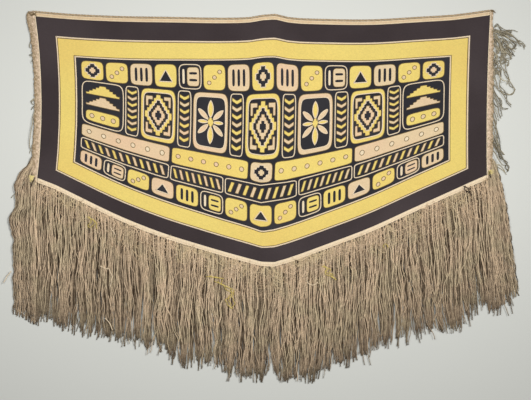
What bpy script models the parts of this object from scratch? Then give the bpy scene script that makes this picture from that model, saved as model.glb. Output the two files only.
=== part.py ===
"""A Chilkat blanket lying face up: one twined wool cloth with a soft V hem, the cord
of its heading, a braid with its own strands down each side, and the long hem fringe.

Metres, +Z up. +Y runs from the hem towards the heading and +X to the right of someone
who looks at the face. The cloth rests on z = 0. The shapes are laid out from the middle
of the heading, and then moved so that the origin is the middle of the bounding box at
that level."""

import functools
import math

import bmesh
import bpy
from mathutils import Vector

# Heading, left to right: x, y. It sags between three held places.
HEADING_EDGE = (
    (-0.824, 0.025),
    (-0.695, 0.014),
    (-0.515, 0.006),
    (-0.335, 0.003),
    (-0.150, 0.000),
    (-0.045, 0.003),
    (0.029, 0.015),
    (0.097, 0.001),
    (0.205, -0.004),
    (0.385, -0.006),
    (0.565, 0.004),
    (0.690, 0.012),
    (0.814, 0.029),
)

# Hem, left to right: x, y. The V is steepest at the corners and round at its point.
HEM_EDGE = (
    (-0.818, -0.586),
    (-0.770, -0.604),
    (-0.734, -0.620),
    (-0.662, -0.656),
    (-0.518, -0.725),
    (-0.374, -0.782),
    (-0.230, -0.827),
    (-0.086, -0.868),
    (0.022, -0.891),
    (0.094, -0.873),
    (0.238, -0.821),
    (0.382, -0.766),
    (0.526, -0.700),
    (0.670, -0.635),
    (0.760, -0.594),
    (0.802, -0.576),
)

# The cloth
CLOTH_THICK = 0.004
SIDE_BOW = {"left": 0.0205, "right": 0.006}  # how far a side draws in at half its height
COLUMN_STEP = 0.045
MIDDLE_ROWS = 3

# The raised braids that part the borders: distances of the outer and the inner one
BRAID_FROM_HEADING = (0.082, 0.145)
BRAID_FROM_SIDE = (0.068, 0.132)
BRAID_FROM_HEM = (0.069, 0.122)
RIDGE_WIDTH = 0.009
RIDGE_RISE = 0.0015
RIDGE_LINE = {1: 2, 2: 5}  # each braid's place among the rows and the columns

# The cord that the warps hang from
CORD_RADIUS = 0.0035
CORD_OVERHANG = 0.010  # past each top corner

# The braid sewn down each side: distance below the top corner, width
BRAID_WIDTH = {
    "left": ((0.003, 0.034), (0.085, 0.0275), (0.200, 0.025), (0.450, 0.0275), (0.611, 0.030)),
    "right": ((0.003, 0.010), (0.043, 0.010), (0.048, 0.015), (0.180, 0.020), (0.320, 0.0245),
              (0.605, 0.022)),
}
BRAID_THICK = 0.006
SEAM = 0.0004  # between neighbouring pieces

# The yarn that binds each braid at its lower end
TIE_LENGTH = 0.019
TIE_THICK = 0.0026
TIE_ROUND = 0.0009
TIE_RISE = {"left": 0.007, "right": 0.018}  # above the braid's lower end

# Any strand of the fringe
STRAND_WIDTH = 0.0050
STRAND_HEIGHT = 0.0046
TIP_SHARE = 0.62  # of the strand's width and height
TIP_SCATTER = 0.016

# The hem fringe: where its four backings meet, and the strands of each
HEM_SPLITS = (-0.8425, -0.420, 0.000, 0.420, 0.8235)
HEM_STRANDS = 56
HEM_STATIONS = 4
STRIP_WIDTH = 0.006  # the last rows of twining, which the strands leave
STRIP_THICK = 0.0050
SWAY = 0.006
SWAY_LENGTH = 0.34
LOCK_STRANDS = 7  # strands that draw together towards their tips
LOCK_DRAW = 0.0010

# Where the hem fringe ends, left to right: x, y
FRINGE_END = (
    (-0.900, -1.076),
    (-0.734, -1.109),
    (-0.490, -1.170),
    (-0.346, -1.192),
    (-0.288, -1.253),
    (-0.173, -1.253),
    (-0.115, -1.296),
    (0.173, -1.310),
    (0.230, -1.282),
    (0.338, -1.235),
    (0.403, -1.184),
    (0.518, -1.166),
    (0.562, -1.123),
    (0.662, -1.120),
    (0.720, -1.073),
    (0.850, -1.044),
)

# The loose strands of a side, from the top down: distance of the root below the top
# corner, how far out the tip lies, how far down the tip lies
LOOSE = {
    "left": (
        (0.110, 0.010, 0.024),
        (0.145, 0.013, 0.010),
        (0.305, 0.013, 0.016),
        (0.334, 0.010, 0.014),
        (0.372, 0.018, 0.098),
    ),
    "right": (
        (0.052, 0.072, 0.006),
        (0.062, 0.118, 0.062),
        (0.072, 0.086, 0.070),
        (0.084, 0.062, 0.078),
        (0.098, 0.040, 0.082),
        (0.150, 0.083, 0.136),
        (0.222, 0.058, 0.078),
        (0.278, 0.078, 0.064),
        (0.307, 0.060, 0.058),
        (0.325, 0.040, 0.058),
        (0.345, 0.026, 0.062),
        (0.415, 0.030, 0.046),
        (0.446, 0.034, 0.042),
        (0.472, 0.058, 0.080),
    ),
}
LOOSE_STATIONS = 4

# The lowest strands of a side, which hang beside the hem fringe. Each pair holds the value
# of the outermost and the innermost strand: distance of the root below the top corner, how
# far past the braid it is at the braid's foot and further down, and where it ends. From
# knee below the foot on, a strand hangs straight.
BUNDLE = {
    "left": {
        "count": 8,
        "root": (0.480, 0.586),
        "foot": (0.050, 0.006),
        "low": (0.056, 0.006),
        "end": (-1.052, -1.082),
        "knee": 0.08,
    },
    "right": {
        "count": 5,
        "root": (0.515, 0.580),
        "foot": (0.031, 0.006),
        "low": (0.061, 0.007),
        "end": (-0.985, -1.036),
        "knee": 0.25,
    },
}
BUNDLE_BEND = ((0.3, 0.40), (0.6, 0.66), (1, 0.84))  # share of the way to the foot, and out

COLOURS = {
    "twined_cloth": (0.052, 0.038, 0.040),
    "heading_cord": (0.420, 0.280, 0.150),
    "side_fringe": (0.440, 0.330, 0.220),
    "hem_fringe": (0.290, 0.225, 0.140),
    "corner_tie": (0.770, 0.600, 0.170),
}
WOOL_ROUGHNESS = 0.92


def smooth(table, x):
    """The height at x of the smooth curve through the table's rows."""
    last = len(table) - 1
    i = min(max(sum(row[0] <= x for row in table) - 1, 0), last - 1)

    def slope(k):
        before, after = table[max(k - 1, 0)], table[min(k + 1, last)]
        return (after[1] - before[1]) / (after[0] - before[0])

    (x0, y0), (x1, y1) = table[i], table[i + 1]
    span = x1 - x0
    t = min(max((x - x0) / span, 0.0), 1.0)
    start = (1 + 2 * t) * (1 - t) ** 2 * y0 + t * (1 - t) ** 2 * span * slope(i)
    end = t * t * (3 - 2 * t) * y1 + t * t * (t - 1) * span * slope(i + 1)
    return start + end


def straight(table, x):
    """The height at x of straight lines from row to row."""
    i = min(max(sum(row[0] <= x for row in table) - 1, 0), len(table) - 2)
    (x0, y0), (x1, y1) = table[i], table[i + 1]
    return mix(y0, y1, min(max((x - x0) / (x1 - x0), 0.0), 1.0))


def mix(a, b, share):
    return a + (b - a) * share


def steps(start, end, count):
    return [mix(start, end, k / (count - 1)) for k in range(count)]


def scatter(number):
    """A fixed number from -1 to 1 for each whole number, with no order to be seen."""
    return 2 * ((math.sin(number * 127.1 + 11.7) * 43758.5453) % 1.0) - 1


def outward(side):
    return -1 if side == "left" else 1


def corners(side):
    """The top and the lower corner of that side."""
    row = 0 if side == "left" else -1
    return Vector(HEADING_EDGE[row]), Vector(HEM_EDGE[row])


def side_height(side):
    top, foot = corners(side)
    return top.y - foot.y


def ridge_rows(distance):
    return [(distance - RIDGE_WIDTH / 2, 0), (distance, 1), (distance + RIDGE_WIDTH / 2, 0)]


def cloth_columns():
    """Each column's share of the width, and the braid on it: 0 for none, 1 for the outer
    one and 2 for the inner one."""
    width = HEADING_EDGE[-1][0] - HEADING_EDGE[0][0]
    edge = [(0, 0)]
    for number, distance in enumerate(BRAID_FROM_SIDE, start=1):
        edge += [(d / width, raised * number) for d, raised in ridge_rows(distance)]
    count = round((width - 2 * BRAID_FROM_SIDE[1]) / COLUMN_STEP)
    middle = [(share, 0) for share in steps(edge[-1][0], 1 - edge[-1][0], count)[1:-1]]
    return edge + middle + [(1 - share, number) for share, number in edge[::-1]]


def cloth_rows():
    """Each row's distance below the heading, its distance above the hem, its share of the
    way from the first to the second, and the number of the braid on it."""
    upper, lower = [(0, 0, 0, 0)], [(0, 0, 1, 0)]
    for number, distance in enumerate(BRAID_FROM_HEADING, start=1):
        upper += [(d, 0, 0, raised * number) for d, raised in ridge_rows(distance)]
    for number, distance in enumerate(BRAID_FROM_HEM, start=1):
        lower += [(0, d, 1, raised * number) for d, raised in ridge_rows(distance)]
    shares = steps(0, 1, MIDDLE_ROWS + 2)[1:-1]
    return upper + [(upper[-1][0], lower[-1][1], share, 0) for share in shares] + lower[::-1]


def cloth_place(row, column):
    """The point where that row and column cross."""
    from_heading, from_hem, share, _ = row
    ends = []
    for side in ("left", "right"):
        top, foot = corners(side)
        height = top.y - foot.y
        t = mix(from_heading, height - from_hem, share) / height
        bow = SIDE_BOW[side] * 4 * t * (1 - t)
        ends.append(mix(top.x, foot.x, t) - outward(side) * bow)
    x = mix(*ends, column[0])
    upper, lower = smooth(HEADING_EDGE, x) - from_heading, smooth(HEM_EDGE, x) + from_hem
    return Vector((x, mix(upper, lower, share)))


@functools.cache
def cloth_edge(name):
    """The points of one edge of the cloth: heading, hem, left or right. The pieces around
    the cloth follow these same points."""
    rows, columns = cloth_rows(), cloth_columns()
    if name in ("heading", "hem"):
        row = rows[0] if name == "heading" else rows[-1]
        return [cloth_place(row, column) for column in columns]
    column = columns[0] if name == "left" else columns[-1]
    return [cloth_place(row, column) for row in rows]


def side_point(side, drop, out=0.0):
    """The point that far below the top corner and that far outside the cloth's edge."""
    line = cloth_edge(side)
    y = line[0].y - drop
    x = straight([(place.y, place.x) for place in line[::-1]], y)
    return Vector((x + outward(side) * out, y))


def braid_width(side, drop):
    return straight(BRAID_WIDTH[side], drop)


def braid_point(side, drop, past=0.0):
    """The point that far below the top corner and that far past the braid's outer edge."""
    return side_point(side, drop, SEAM + braid_width(side, drop) + past)


def hem_point(x, below=0.0):
    return Vector((x, straight(cloth_edge("hem"), x) - below))


def wool(name):
    material = bpy.data.materials.new(name)
    material.use_nodes = True
    shader = material.node_tree.nodes["Principled BSDF"]
    shader.inputs["Base Color"].default_value = (*COLOURS[name], 1)
    shader.inputs["Roughness"].default_value = WOOL_ROUGHNESS
    shader.inputs["Metallic"].default_value = 0
    return material


def add(name, data, material, collection, parent, height=0.0):
    """A new object of that data at that height, as a child of the blanket's empty."""
    piece = bpy.data.objects.new(name, data)
    piece.location.z = height
    piece.parent = parent
    data.materials.append(material)
    collection.objects.link(piece)
    return piece


def flat_piece(name, outline, thick, material, collection, parent):
    """A mesh of that outline and thickness, which lies on z = 0."""
    curve = bpy.data.curves.new(name, "CURVE")
    curve.dimensions = "2D"
    curve.fill_mode = "BOTH"
    curve.extrude = thick / 2
    spline = curve.splines.new("POLY")
    spline.points.add(len(outline) - 1)
    for point, place in zip(spline.points, outline):
        point.co = (place.x, place.y, 0, 1)
    spline.use_cyclic_u = True
    guide = add(name + "_outline", curve, material, collection, parent, thick / 2)

    bpy.context.view_layer.update()
    graph = bpy.context.evaluated_depsgraph_get()
    mesh = bpy.data.meshes.new_from_object(guide.evaluated_get(graph))
    shape = bmesh.new()
    shape.from_mesh(mesh)
    bmesh.ops.remove_doubles(shape, verts=shape.verts, dist=0.00001)
    bmesh.ops.recalc_face_normals(shape, faces=shape.faces)
    bmesh.ops.translate(shape, verts=shape.verts, vec=(0, 0, thick / 2))
    shape.to_mesh(mesh)
    shape.free()
    bpy.data.objects.remove(guide)
    return add(name, mesh, material, collection, parent)


def grow_strand(shape, root_face, path):
    """Draws the root's face out along the path, level on the floor and thinner towards
    the tip."""
    face = root_face
    for k in range(1, len(path)):
        share = mix(1, TIP_SHARE, k / (len(path) - 1))
        heading = path[min(k + 1, len(path) - 1)] - path[k - 1]
        across = Vector((-heading.y, heading.x)).normalized() * STRAND_WIDTH * share / 2
        face = bmesh.ops.extrude_discrete_faces(shape, faces=[face])["faces"][0]
        middle = face.calc_center_median()
        for vert in face.verts:
            left = (vert.co - middle).xy.dot(across) > 0
            place = path[k] + across if left else path[k] - across
            level = STRAND_HEIGHT * share if vert.co.z > middle.z else 0
            vert.co = (place.x, place.y, level)


def fringed_strip(name, inner, edge, bends, paths, thick, material, collection, parent):
    """A backing between the inner edge and an outer one, with a strand along each path.
    edge gives the outer edge's point at a place along it, and the edge turns at the places
    in bends. paths go by root place."""
    half = STRAND_WIDTH / 2
    roots = [root + shift for root in paths for shift in (-half, half)]
    outer = [edge(place) for place in sorted(roots + bends)]
    outline = inner + outer[::-1]
    strip = flat_piece(name, outline, thick, material, collection, parent)
    shape = bmesh.new()
    shape.from_mesh(strip.data)
    walls = [face for face in shape.faces if abs(face.normal.z) < 0.5]
    for root, path in paths.items():
        middle = (edge(root - half) + edge(root + half)) / 2
        root_face = min(walls, key=lambda face: (face.calc_center_median().xy - middle).length)
        walls.remove(root_face)
        grow_strand(shape, root_face, [middle] + path)
    bmesh.ops.recalc_face_normals(shape, faces=shape.faces)
    shape.to_mesh(strip.data)
    shape.free()


def hem_path(x, number):
    """A hem strand below its root: straight down, swaying with its neighbours, its tip
    drawn to the middle of its lock."""
    start = hem_point(x, SEAM + STRIP_WIDTH)
    end_y = straight(FRINGE_END, x) + TIP_SCATTER * scatter(number)
    draw = LOCK_DRAW * ((LOCK_STRANDS - 1) / 2 - number % LOCK_STRANDS)
    path = []
    for t in steps(0, 1, HEM_STATIONS + 1)[1:]:
        sway = SWAY * math.sin(math.pi * t) * math.sin(2 * math.pi * (t + x / SWAY_LENGTH))
        path.append(Vector((x + sway + draw * t * t, mix(start.y, end_y, t))))
    return path


def side_path(side, drop, out, fall, stations):
    """A side strand below its root: out from the braid, then turning down, within a
    distance that is larger for one that reaches further out."""
    root = braid_point(side, drop)
    path = []
    for t in steps(0, 1, stations + 1)[1:]:
        down = fall * t**1.4
        away = out * (1 - math.exp(-down / out)) / (1 - math.exp(-fall / out))
        path.append(root + Vector((outward(side) * away, -down)))
    return path


def bundle_path(side, share, scattered):
    """A strand from the lower part of the braid, bent to hang beside the hem fringe. share
    is 0 for the outermost one and 1 for the innermost one."""
    bundle = BUNDLE[side]
    root = braid_point(side, mix(*bundle["root"], share))
    foot = braid_point(side, side_height(side), mix(*bundle["foot"], share))
    low = braid_point(side, side_height(side), mix(*bundle["low"], share)) - Vector((0, bundle["knee"]))
    end_y = mix(*bundle["end"], share) + scattered
    path = [Vector((mix(root.x, foot.x, away), mix(root.y, foot.y, t))) for t, away in BUNDLE_BEND]
    middle = Vector((low.x + SWAY / 2, mix(low.y, end_y, 0.5)))
    return path + [low, middle, Vector((low.x, end_y))]


def side_paths(side):
    """The paths of all strands of a side, by the distance of the root below the top."""
    paths = {}
    for drop, out, fall in LOOSE[side]:
        paths[drop] = side_path(side, drop, out, fall, LOOSE_STATIONS)
    for k, share in enumerate(steps(0, 1, BUNDLE[side]["count"])):
        drop = mix(*BUNDLE[side]["root"], share)
        paths[drop] = bundle_path(side, share, TIP_SCATTER * scatter(k))
    return paths


def make_cloth(material, collection, parent):
    """The cloth as a grid of rows and columns, raised where a braid runs."""
    rows, columns = cloth_rows(), cloth_columns()
    shape = bmesh.new()
    bmesh.ops.create_grid(shape, x_segments=len(columns) - 1, y_segments=len(rows) - 1, size=1)
    shape.verts.ensure_lookup_table()
    raised = set()
    for j, row in enumerate(rows):
        for i, column in enumerate(columns):
            vert = shape.verts[j * len(columns) + i]
            place = cloth_place(row, column)
            vert.co = (place.x, place.y, CLOTH_THICK)
            from_side = min(i, len(columns) - 1 - i)
            from_end = min(j, len(rows) - 1 - j)
            on_row = row[3] and from_side >= RIDGE_LINE[row[3]]
            on_column = column[1] and from_end >= RIDGE_LINE[column[1]]
            if on_row or on_column:
                raised.add(vert)
    lower = bmesh.ops.extrude_face_region(shape, geom=list(shape.faces))["geom"]
    for element in lower:
        if isinstance(element, bmesh.types.BMVert):
            element.co.z = 0
    for vert in raised:
        vert.co.z += RIDGE_RISE
    bmesh.ops.recalc_face_normals(shape, faces=shape.faces)
    mesh = bpy.data.meshes.new("twined_cloth")
    shape.to_mesh(mesh)
    shape.free()
    add("twined_cloth", mesh, material, collection, parent)


def make_heading_cord(material, collection, parent):
    """The cord along the cloth's heading, bent where the cloth's columns are."""
    edge, overhang = cloth_edge("heading"), Vector((CORD_OVERHANG, 0))
    places = [edge[0] - overhang] + edge + [edge[-1] + overhang]
    curve = bpy.data.curves.new("heading_cord", "CURVE")
    curve.dimensions = "3D"
    curve.bevel_depth = CORD_RADIUS
    curve.bevel_resolution = 2
    curve.use_fill_caps = True
    spline = curve.splines.new("POLY")
    spline.points.add(len(places) - 1)
    for point, place in zip(spline.points, places):
        point.co = (place.x, place.y + CORD_RADIUS + SEAM, 0, 1)
    add("heading_cord", curve, material, collection, parent, CORD_RADIUS)


def make_side_fringe(side, material, collection, parent):
    line = cloth_edge(side)
    drops = [BRAID_WIDTH[side][0][0]] + [line[0].y - place.y for place in line[1:]]
    bends = [drop for drop, _ in BRAID_WIDTH[side][1:-1]]

    def edge(drop):
        return braid_point(side, drop)

    name = "side_fringe_" + side
    inner = [edge(drops[0])] + [side_point(side, drop, SEAM) for drop in drops] + [edge(drops[-1])]
    paths = side_paths(side)
    fringed_strip(name, inner, edge, bends, paths, BRAID_THICK, material, collection, parent)


def make_hem_fringe(part, material, collection, parent):
    start, end = HEM_SPLITS[part] + SEAM / 2, HEM_SPLITS[part + 1] - SEAM / 2
    pitch = (end - start) / HEM_STRANDS
    roots = steps(start + pitch / 2, end - pitch / 2, HEM_STRANDS)
    paths = {x: hem_path(x, part * HEM_STRANDS + k) for k, x in enumerate(roots)}

    def edge(x):
        return hem_point(x, SEAM + STRIP_WIDTH)

    between = [place.x for place in cloth_edge("hem") if start < place.x < end]
    upper = [start] + between + [end]
    inner = [edge(start)] + [hem_point(x, SEAM) for x in upper] + [edge(end)]
    name = f"hem_fringe_{part + 1}"
    fringed_strip(name, inner, edge, [], paths, STRIP_THICK, material, collection, parent)


def make_corner_tie(side, material, collection, parent):
    """A few turns of yarn over the braid's lower end, as one low rounded pad."""
    drop = side_height(side) - TIE_RISE[side] - TIE_LENGTH / 2
    width = braid_width(side, drop)
    middle = side_point(side, drop, SEAM + width / 2)
    shape = bmesh.new()
    bmesh.ops.create_cube(shape, size=1)
    bmesh.ops.scale(shape, verts=shape.verts, vec=(width, TIE_LENGTH, TIE_THICK))
    mesh = bpy.data.meshes.new("corner_tie_" + side)
    shape.to_mesh(mesh)
    shape.free()
    height = BRAID_THICK + SEAM + TIE_THICK / 2
    tie = add("corner_tie_" + side, mesh, material, collection, parent, height)
    tie.location.xy = middle
    edges = tie.modifiers.new("rounded", "BEVEL")
    edges.width = TIE_ROUND
    edges.segments = 2


def centre_on_origin(parent, collection):
    """Moves the blanket so that the middle of its bounding box is over the origin."""
    bpy.context.view_layer.update()
    points = [
        piece.matrix_world @ vert.co
        for piece in collection.objects
        if piece.type == "MESH"
        for vert in piece.data.vertices
    ]
    heading_top = max(place.y for place in cloth_edge("heading")) + SEAM + 2 * CORD_RADIUS
    across = [point.x for point in points]
    along = [point.y for point in points] + [heading_top]
    parent.location.x = -(min(across) + max(across)) / 2
    parent.location.y = -(min(along) + max(along)) / 2


def main():
    for old in list(bpy.data.objects):
        bpy.data.objects.remove(old)
    pieces = bpy.data.collections.new("chilkat_blanket")
    bpy.context.scene.collection.children.link(pieces)
    blanket = bpy.data.objects.new("blanket", None)
    pieces.objects.link(blanket)

    make_cloth(wool("twined_cloth"), pieces, blanket)
    make_heading_cord(wool("heading_cord"), pieces, blanket)
    side_wool, hem_wool, tie_yarn = wool("side_fringe"), wool("hem_fringe"), wool("corner_tie")
    for side in ("left", "right"):
        make_side_fringe(side, side_wool, pieces, blanket)
        make_corner_tie(side, tie_yarn, pieces, blanket)
    for part in range(len(HEM_SPLITS) - 1):
        make_hem_fringe(part, hem_wool, pieces, blanket)
    centre_on_origin(blanket, pieces)


main()
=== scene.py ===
import math

import bmesh
import bpy
import numpy as np
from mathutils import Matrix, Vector
from mathutils.geometry import delaunay_2d_cdt


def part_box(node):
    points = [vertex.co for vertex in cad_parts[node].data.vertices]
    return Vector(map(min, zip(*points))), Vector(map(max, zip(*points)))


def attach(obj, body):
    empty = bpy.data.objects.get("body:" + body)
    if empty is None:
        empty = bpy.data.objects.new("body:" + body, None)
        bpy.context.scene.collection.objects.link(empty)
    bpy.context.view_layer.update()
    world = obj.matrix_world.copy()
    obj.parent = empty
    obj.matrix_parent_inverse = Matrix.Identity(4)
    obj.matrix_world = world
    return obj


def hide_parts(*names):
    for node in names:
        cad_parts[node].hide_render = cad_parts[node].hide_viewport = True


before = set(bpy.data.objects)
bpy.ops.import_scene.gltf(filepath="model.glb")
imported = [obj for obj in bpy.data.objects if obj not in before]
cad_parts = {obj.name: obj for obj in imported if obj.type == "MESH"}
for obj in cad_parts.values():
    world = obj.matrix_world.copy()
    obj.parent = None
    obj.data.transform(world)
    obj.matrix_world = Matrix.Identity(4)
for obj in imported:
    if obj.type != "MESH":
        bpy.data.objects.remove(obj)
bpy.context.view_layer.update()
print("frame loaded")


# Shader sums

class Wire:
    # a socket that can be used in sums like a number
    def __init__(self, tree, socket=None):
        self.tree = tree
        self.socket = socket

    def node(self, kind, settings=None, sockets=None, output=0):
        made = self.tree.nodes.new(kind)
        for name, value in (settings or {}).items():
            setattr(made, name, value)
        for name, value in (sockets or {}).items():
            if isinstance(value, Wire):
                self.tree.links.new(value.socket, made.inputs[name])
            else:
                made.inputs[name].default_value = value
        return Wire(self.tree, made.outputs[output])

    def math(self, operation, *terms):
        return self.node("ShaderNodeMath", {"operation": operation}, dict(enumerate(terms)))

    def output(self, number):
        # another output of the same node
        return Wire(self.tree, self.socket.node.outputs[number])

    def noise(self, spot, scale, detail):
        return self.node("ShaderNodeTexNoise", None, {"Vector": spot, "Scale": scale, "Detail": detail})

    def scaled(self, amount):
        return self.node("ShaderNodeVectorMath", {"operation": "SCALE"}, {0: self, "Scale": amount})

    def between(self, low, high):
        # the colour at this share of the way from low to high
        return self.node("ShaderNodeMix", {"data_type": "RGBA"}, {0: self, 6: low, 7: high}, 2)

    def held(self):
        return self.node("ShaderNodeClamp", None, {"Value": self})

    def __add__(self, other):
        return self.math("ADD", self, other)

    def __sub__(self, other):
        return self.math("SUBTRACT", self, other)

    def __rsub__(self, other):
        return self.math("SUBTRACT", other, self)

    def __mul__(self, other):
        return self.math("MULTIPLY", self, other)

    def __truediv__(self, other):
        return self.math("DIVIDE", self, other)

    def __pow__(self, other):
        return self.math("POWER", self, other)

    __radd__ = __add__
    __rmul__ = __mul__


def dye(red, green, blue):
    # a colour as seen on a screen, 0 to 255, as the linear one that the nodes take
    def linear(level):
        level /= 255
        return level / 12.92 if level <= 0.04045 else ((level + 0.055) / 1.055) ** 2.4

    return linear(red), linear(green), linear(blue), 1


def woolMaterial(name, roughness, sheen):
    material = bpy.data.materials.new(name)
    material.use_nodes = True
    skin = material.node_tree.nodes["Principled BSDF"]
    skin.inputs["Roughness"].default_value = roughness
    skin.inputs["Specular IOR Level"].default_value = 0.18
    skin.inputs["Sheen Weight"].default_value = sheen
    skin.inputs["Sheen Roughness"].default_value = 0.6
    return material, skin, Wire(material.node_tree)


def finish(material, skin, colour, height, depth):
    # joins a colour and a bump height to the material's shader
    tree = material.node_tree
    bump = Wire(tree).node("ShaderNodeBump", None, {"Strength": 1.0, "Distance": depth, "Height": height})
    tree.links.new(colour.socket, skin.inputs["Base Color"])
    tree.links.new(bump.socket, skin.inputs["Normal"])
    return material


# Materials of the twined cloth

twining = {
    "stitch": 0.0042,  # width of one stitch over two warps
    "row": 0.0027,  # height of one row of weft
    "slant": 0.45,  # how far a stitch leans within its row
    "stitchTone": 0.10,
    "patchTone": 0.10,
    "fuzzTone": 0.10,
    "depth": 0.0007,
}

# Each wool's colours, and in gap how far its colour is darkened as painted shade between the stitches
clothDyesAndShade = {
    "blackBorder": {"wool": dye(57, 47, 48), "worn": dye(69, 59, 60), "gap": 0.35},
    "fieldBlack": {"wool": dye(38, 37, 42), "worn": dye(52, 50, 54), "gap": 0.35},
    "yellow": {"wool": dye(237, 212, 118), "worn": dye(236, 206, 114), "gap": 0.22},
    "tan": {"wool": dye(228, 203, 162), "worn": dye(232, 196, 160), "gap": 0.20},
    "cream": {"wool": dye(240, 222, 190), "worn": dye(228, 206, 172), "gap": 0.20},
    # painted shade: the colour of the narrow bands under the dark braids, a dark line standing for the shade
    # along them
    "braidShadeLine": {"wool": dye(112, 92, 52), "worn": dye(92, 76, 48), "gap": 0.35},
    "headingWool": {"wool": dye(240, 208, 170), "worn": dye(226, 196, 154), "gap": 0.28},
    "hemWool": {"wool": dye(236, 215, 172), "worn": dye(220, 192, 148), "gap": 0.28},
}


def twinedWool(name, look):
    material, skin, wire = woolMaterial(name, 0.92, 0.12)
    spot = wire.node("ShaderNodeTexCoord", None, None, "Object")
    across = wire.node("ShaderNodeSeparateXYZ", None, {0: spot})
    along = across.output(1)
    row = along / twining["row"]
    rowNumber = row.math("FLOOR", row)
    rowShare = row - rowNumber
    stitch = across / twining["stitch"] + rowNumber * 0.5 + rowShare * twining["slant"]
    stitchNumber = stitch.math("FLOOR", stitch)
    stitchShare = stitch - stitchNumber
    rounded = (rowShare * (1 - rowShare) * stitchShare * (1 - stitchShare) * 16) ** 0.5
    cell = wire.node("ShaderNodeCombineXYZ", None, {0: stitchNumber, 1: rowNumber})
    stitchTone = wire.node("ShaderNodeTexWhiteNoise", {"noise_dimensions": "2D"}, {"Vector": cell})
    patch = wire.noise(spot, 7.0, 5.0)
    wornPatch = wire.noise(spot, 3.1, 3.0)
    fuzz = wire.noise(spot, 900.0, 3.0)
    tone = 1 + (stitchTone - 0.5) * twining["stitchTone"] + (patch - 0.5) * twining["patchTone"]
    tone = tone + (fuzz - 0.5) * twining["fuzzTone"]
    # painted shade: the colour is darker in the gaps between the stitches, by the wool's gap share
    shade = tone * (1 - (1 - rounded) * look["gap"])
    worn = ((wornPatch - 0.42) * 4).held()
    colour = worn.between(look["wool"], look["worn"]).scaled(shade)
    return finish(material, skin, colour, rounded + fuzz * 0.3, twining["depth"])


clothMaterials = {name: twinedWool(name, look) for name, look in clothDyesAndShade.items()}


# Materials of yarns, plaits and cords. Their UV map runs in metres along a yarn and once round it.

def plyWool(name, look):
    material, skin, wire = woolMaterial(name, look["rough"], look["sheen"])
    lay = wire.node("ShaderNodeUVMap", {"uv_map": "lay"})
    length = wire.node("ShaderNodeSeparateXYZ", None, {0: lay})
    turn = length.output(1)
    tone = wire.node("ShaderNodeAttribute", {"attribute_name": "tone"}, None, "Fac")
    spot = wire.node("ShaderNodeTexCoord", None, None, "Object")
    slub = wire.noise(spot, look["slub"], 4.0)
    fuzz = wire.noise(spot, 1100.0, 3.0)
    ply = (length / look["twist"] + turn * look["plies"]) * math.tau
    rounded = ply.math("SINE", ply) * 0.5 + 0.5
    share = (tone + (slub - 0.5) * look["mottle"]).held()
    # painted shade: the colour is darker in the grooves between the plies, by the yarn's gap share
    shade = (1 - (1 - rounded) * look["gap"]) * (1 + (fuzz - 0.5) * 0.25)
    light = look["light"]
    if "otherLight" in look:
        patch = wire.noise(spot, 13.0, 4.0)
        light = ((patch - 0.44) * 6).held().between(light, look["otherLight"])
    colour = share.between(look["dark"], light).scaled(shade)
    return finish(material, skin, colour, rounded + fuzz * 0.35, look["depth"])


# A yarn's gap is how far its colour is darkened as painted shade in the grooves between its plies
usualYarn = {
    "twist": 0.006, "plies": 2, "gap": 0.26, "mottle": 0.7, "slub": 80.0, "rough": 0.95, "sheen": 0.1,
    "depth": 0.0006,
}

# What each yarn has besides the usual values, or in their place
yarnLooks = {
    "fringeWool": {
        "dark": dye(68, 52, 35), "light": dye(240, 212, 177), "otherLight": dye(232, 210, 173),
        "twist": 0.009, "gap": 0.40, "mottle": 0.60, "slub": 60.0, "sheen": 0.06, "depth": 0.0009,
    },
    "fluffWool": {
        "dark": dye(172, 144, 112), "light": dye(240, 212, 176), "otherLight": dye(234, 212, 170),
        "gap": 0.25, "mottle": 0.6, "depth": 0.0004,
    },
    "looseWool": {
        "dark": dye(112, 103, 84), "light": dye(226, 214, 184),
        "twist": 0.008, "gap": 0.34, "slub": 70.0, "sheen": 0.06, "depth": 0.0009,
    },
    "sideWool": {
        "dark": dye(152, 130, 96), "light": dye(250, 224, 196),
        "twist": 0.007, "mottle": 1.7, "slub": 125.0, "depth": 0.0009,
    },
    "cordWool": {
        "dark": dye(164, 138, 106), "light": dye(226, 202, 164),
        "gap": 0.35, "mottle": 0.9, "slub": 120.0, "rough": 0.92,
    },
    "creamBraid": {"dark": dye(232, 206, 170), "light": dye(255, 236, 204), "mottle": 0.5, "rough": 0.9},
    "headingYarn": {
        "dark": dye(232, 199, 158), "light": dye(255, 240, 204), "mottle": 0.8, "slub": 110.0, "rough": 0.9,
    },
    # painted shade: the dark colour of the braids that edge the yellow band and the yellow and tan shapes
    # stands for the shade along them; the frayed cord ends take it as their own brown
    "darkBraid": {
        "dark": dye(92, 74, 42), "light": dye(150, 124, 72),
        "twist": 0.005, "gap": 0.35, "rough": 0.9, "depth": 0.0005,
    },
    "tieWool": {
        "dark": dye(212, 186, 96), "light": dye(252, 236, 166), "twist": 0.007,
        "gap": 0.25, "mottle": 0.9, "slub": 90.0, "rough": 0.9, "sheen": 0.15, "depth": 0.0007,
    },
    "darkThong": {
        "dark": dye(40, 32, 28), "light": dye(84, 68, 56), "twist": 0.02, "plies": 1,
        "gap": 0.30, "mottle": 0.8, "slub": 140.0, "rough": 0.6, "sheen": 0.0, "depth": 0.0003,
    },
}

yarnMaterials = {name: plyWool(name, {**usualYarn, **look}) for name, look in yarnLooks.items()}
print("materials made")


# The cloth's outline, read from its solid

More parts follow.
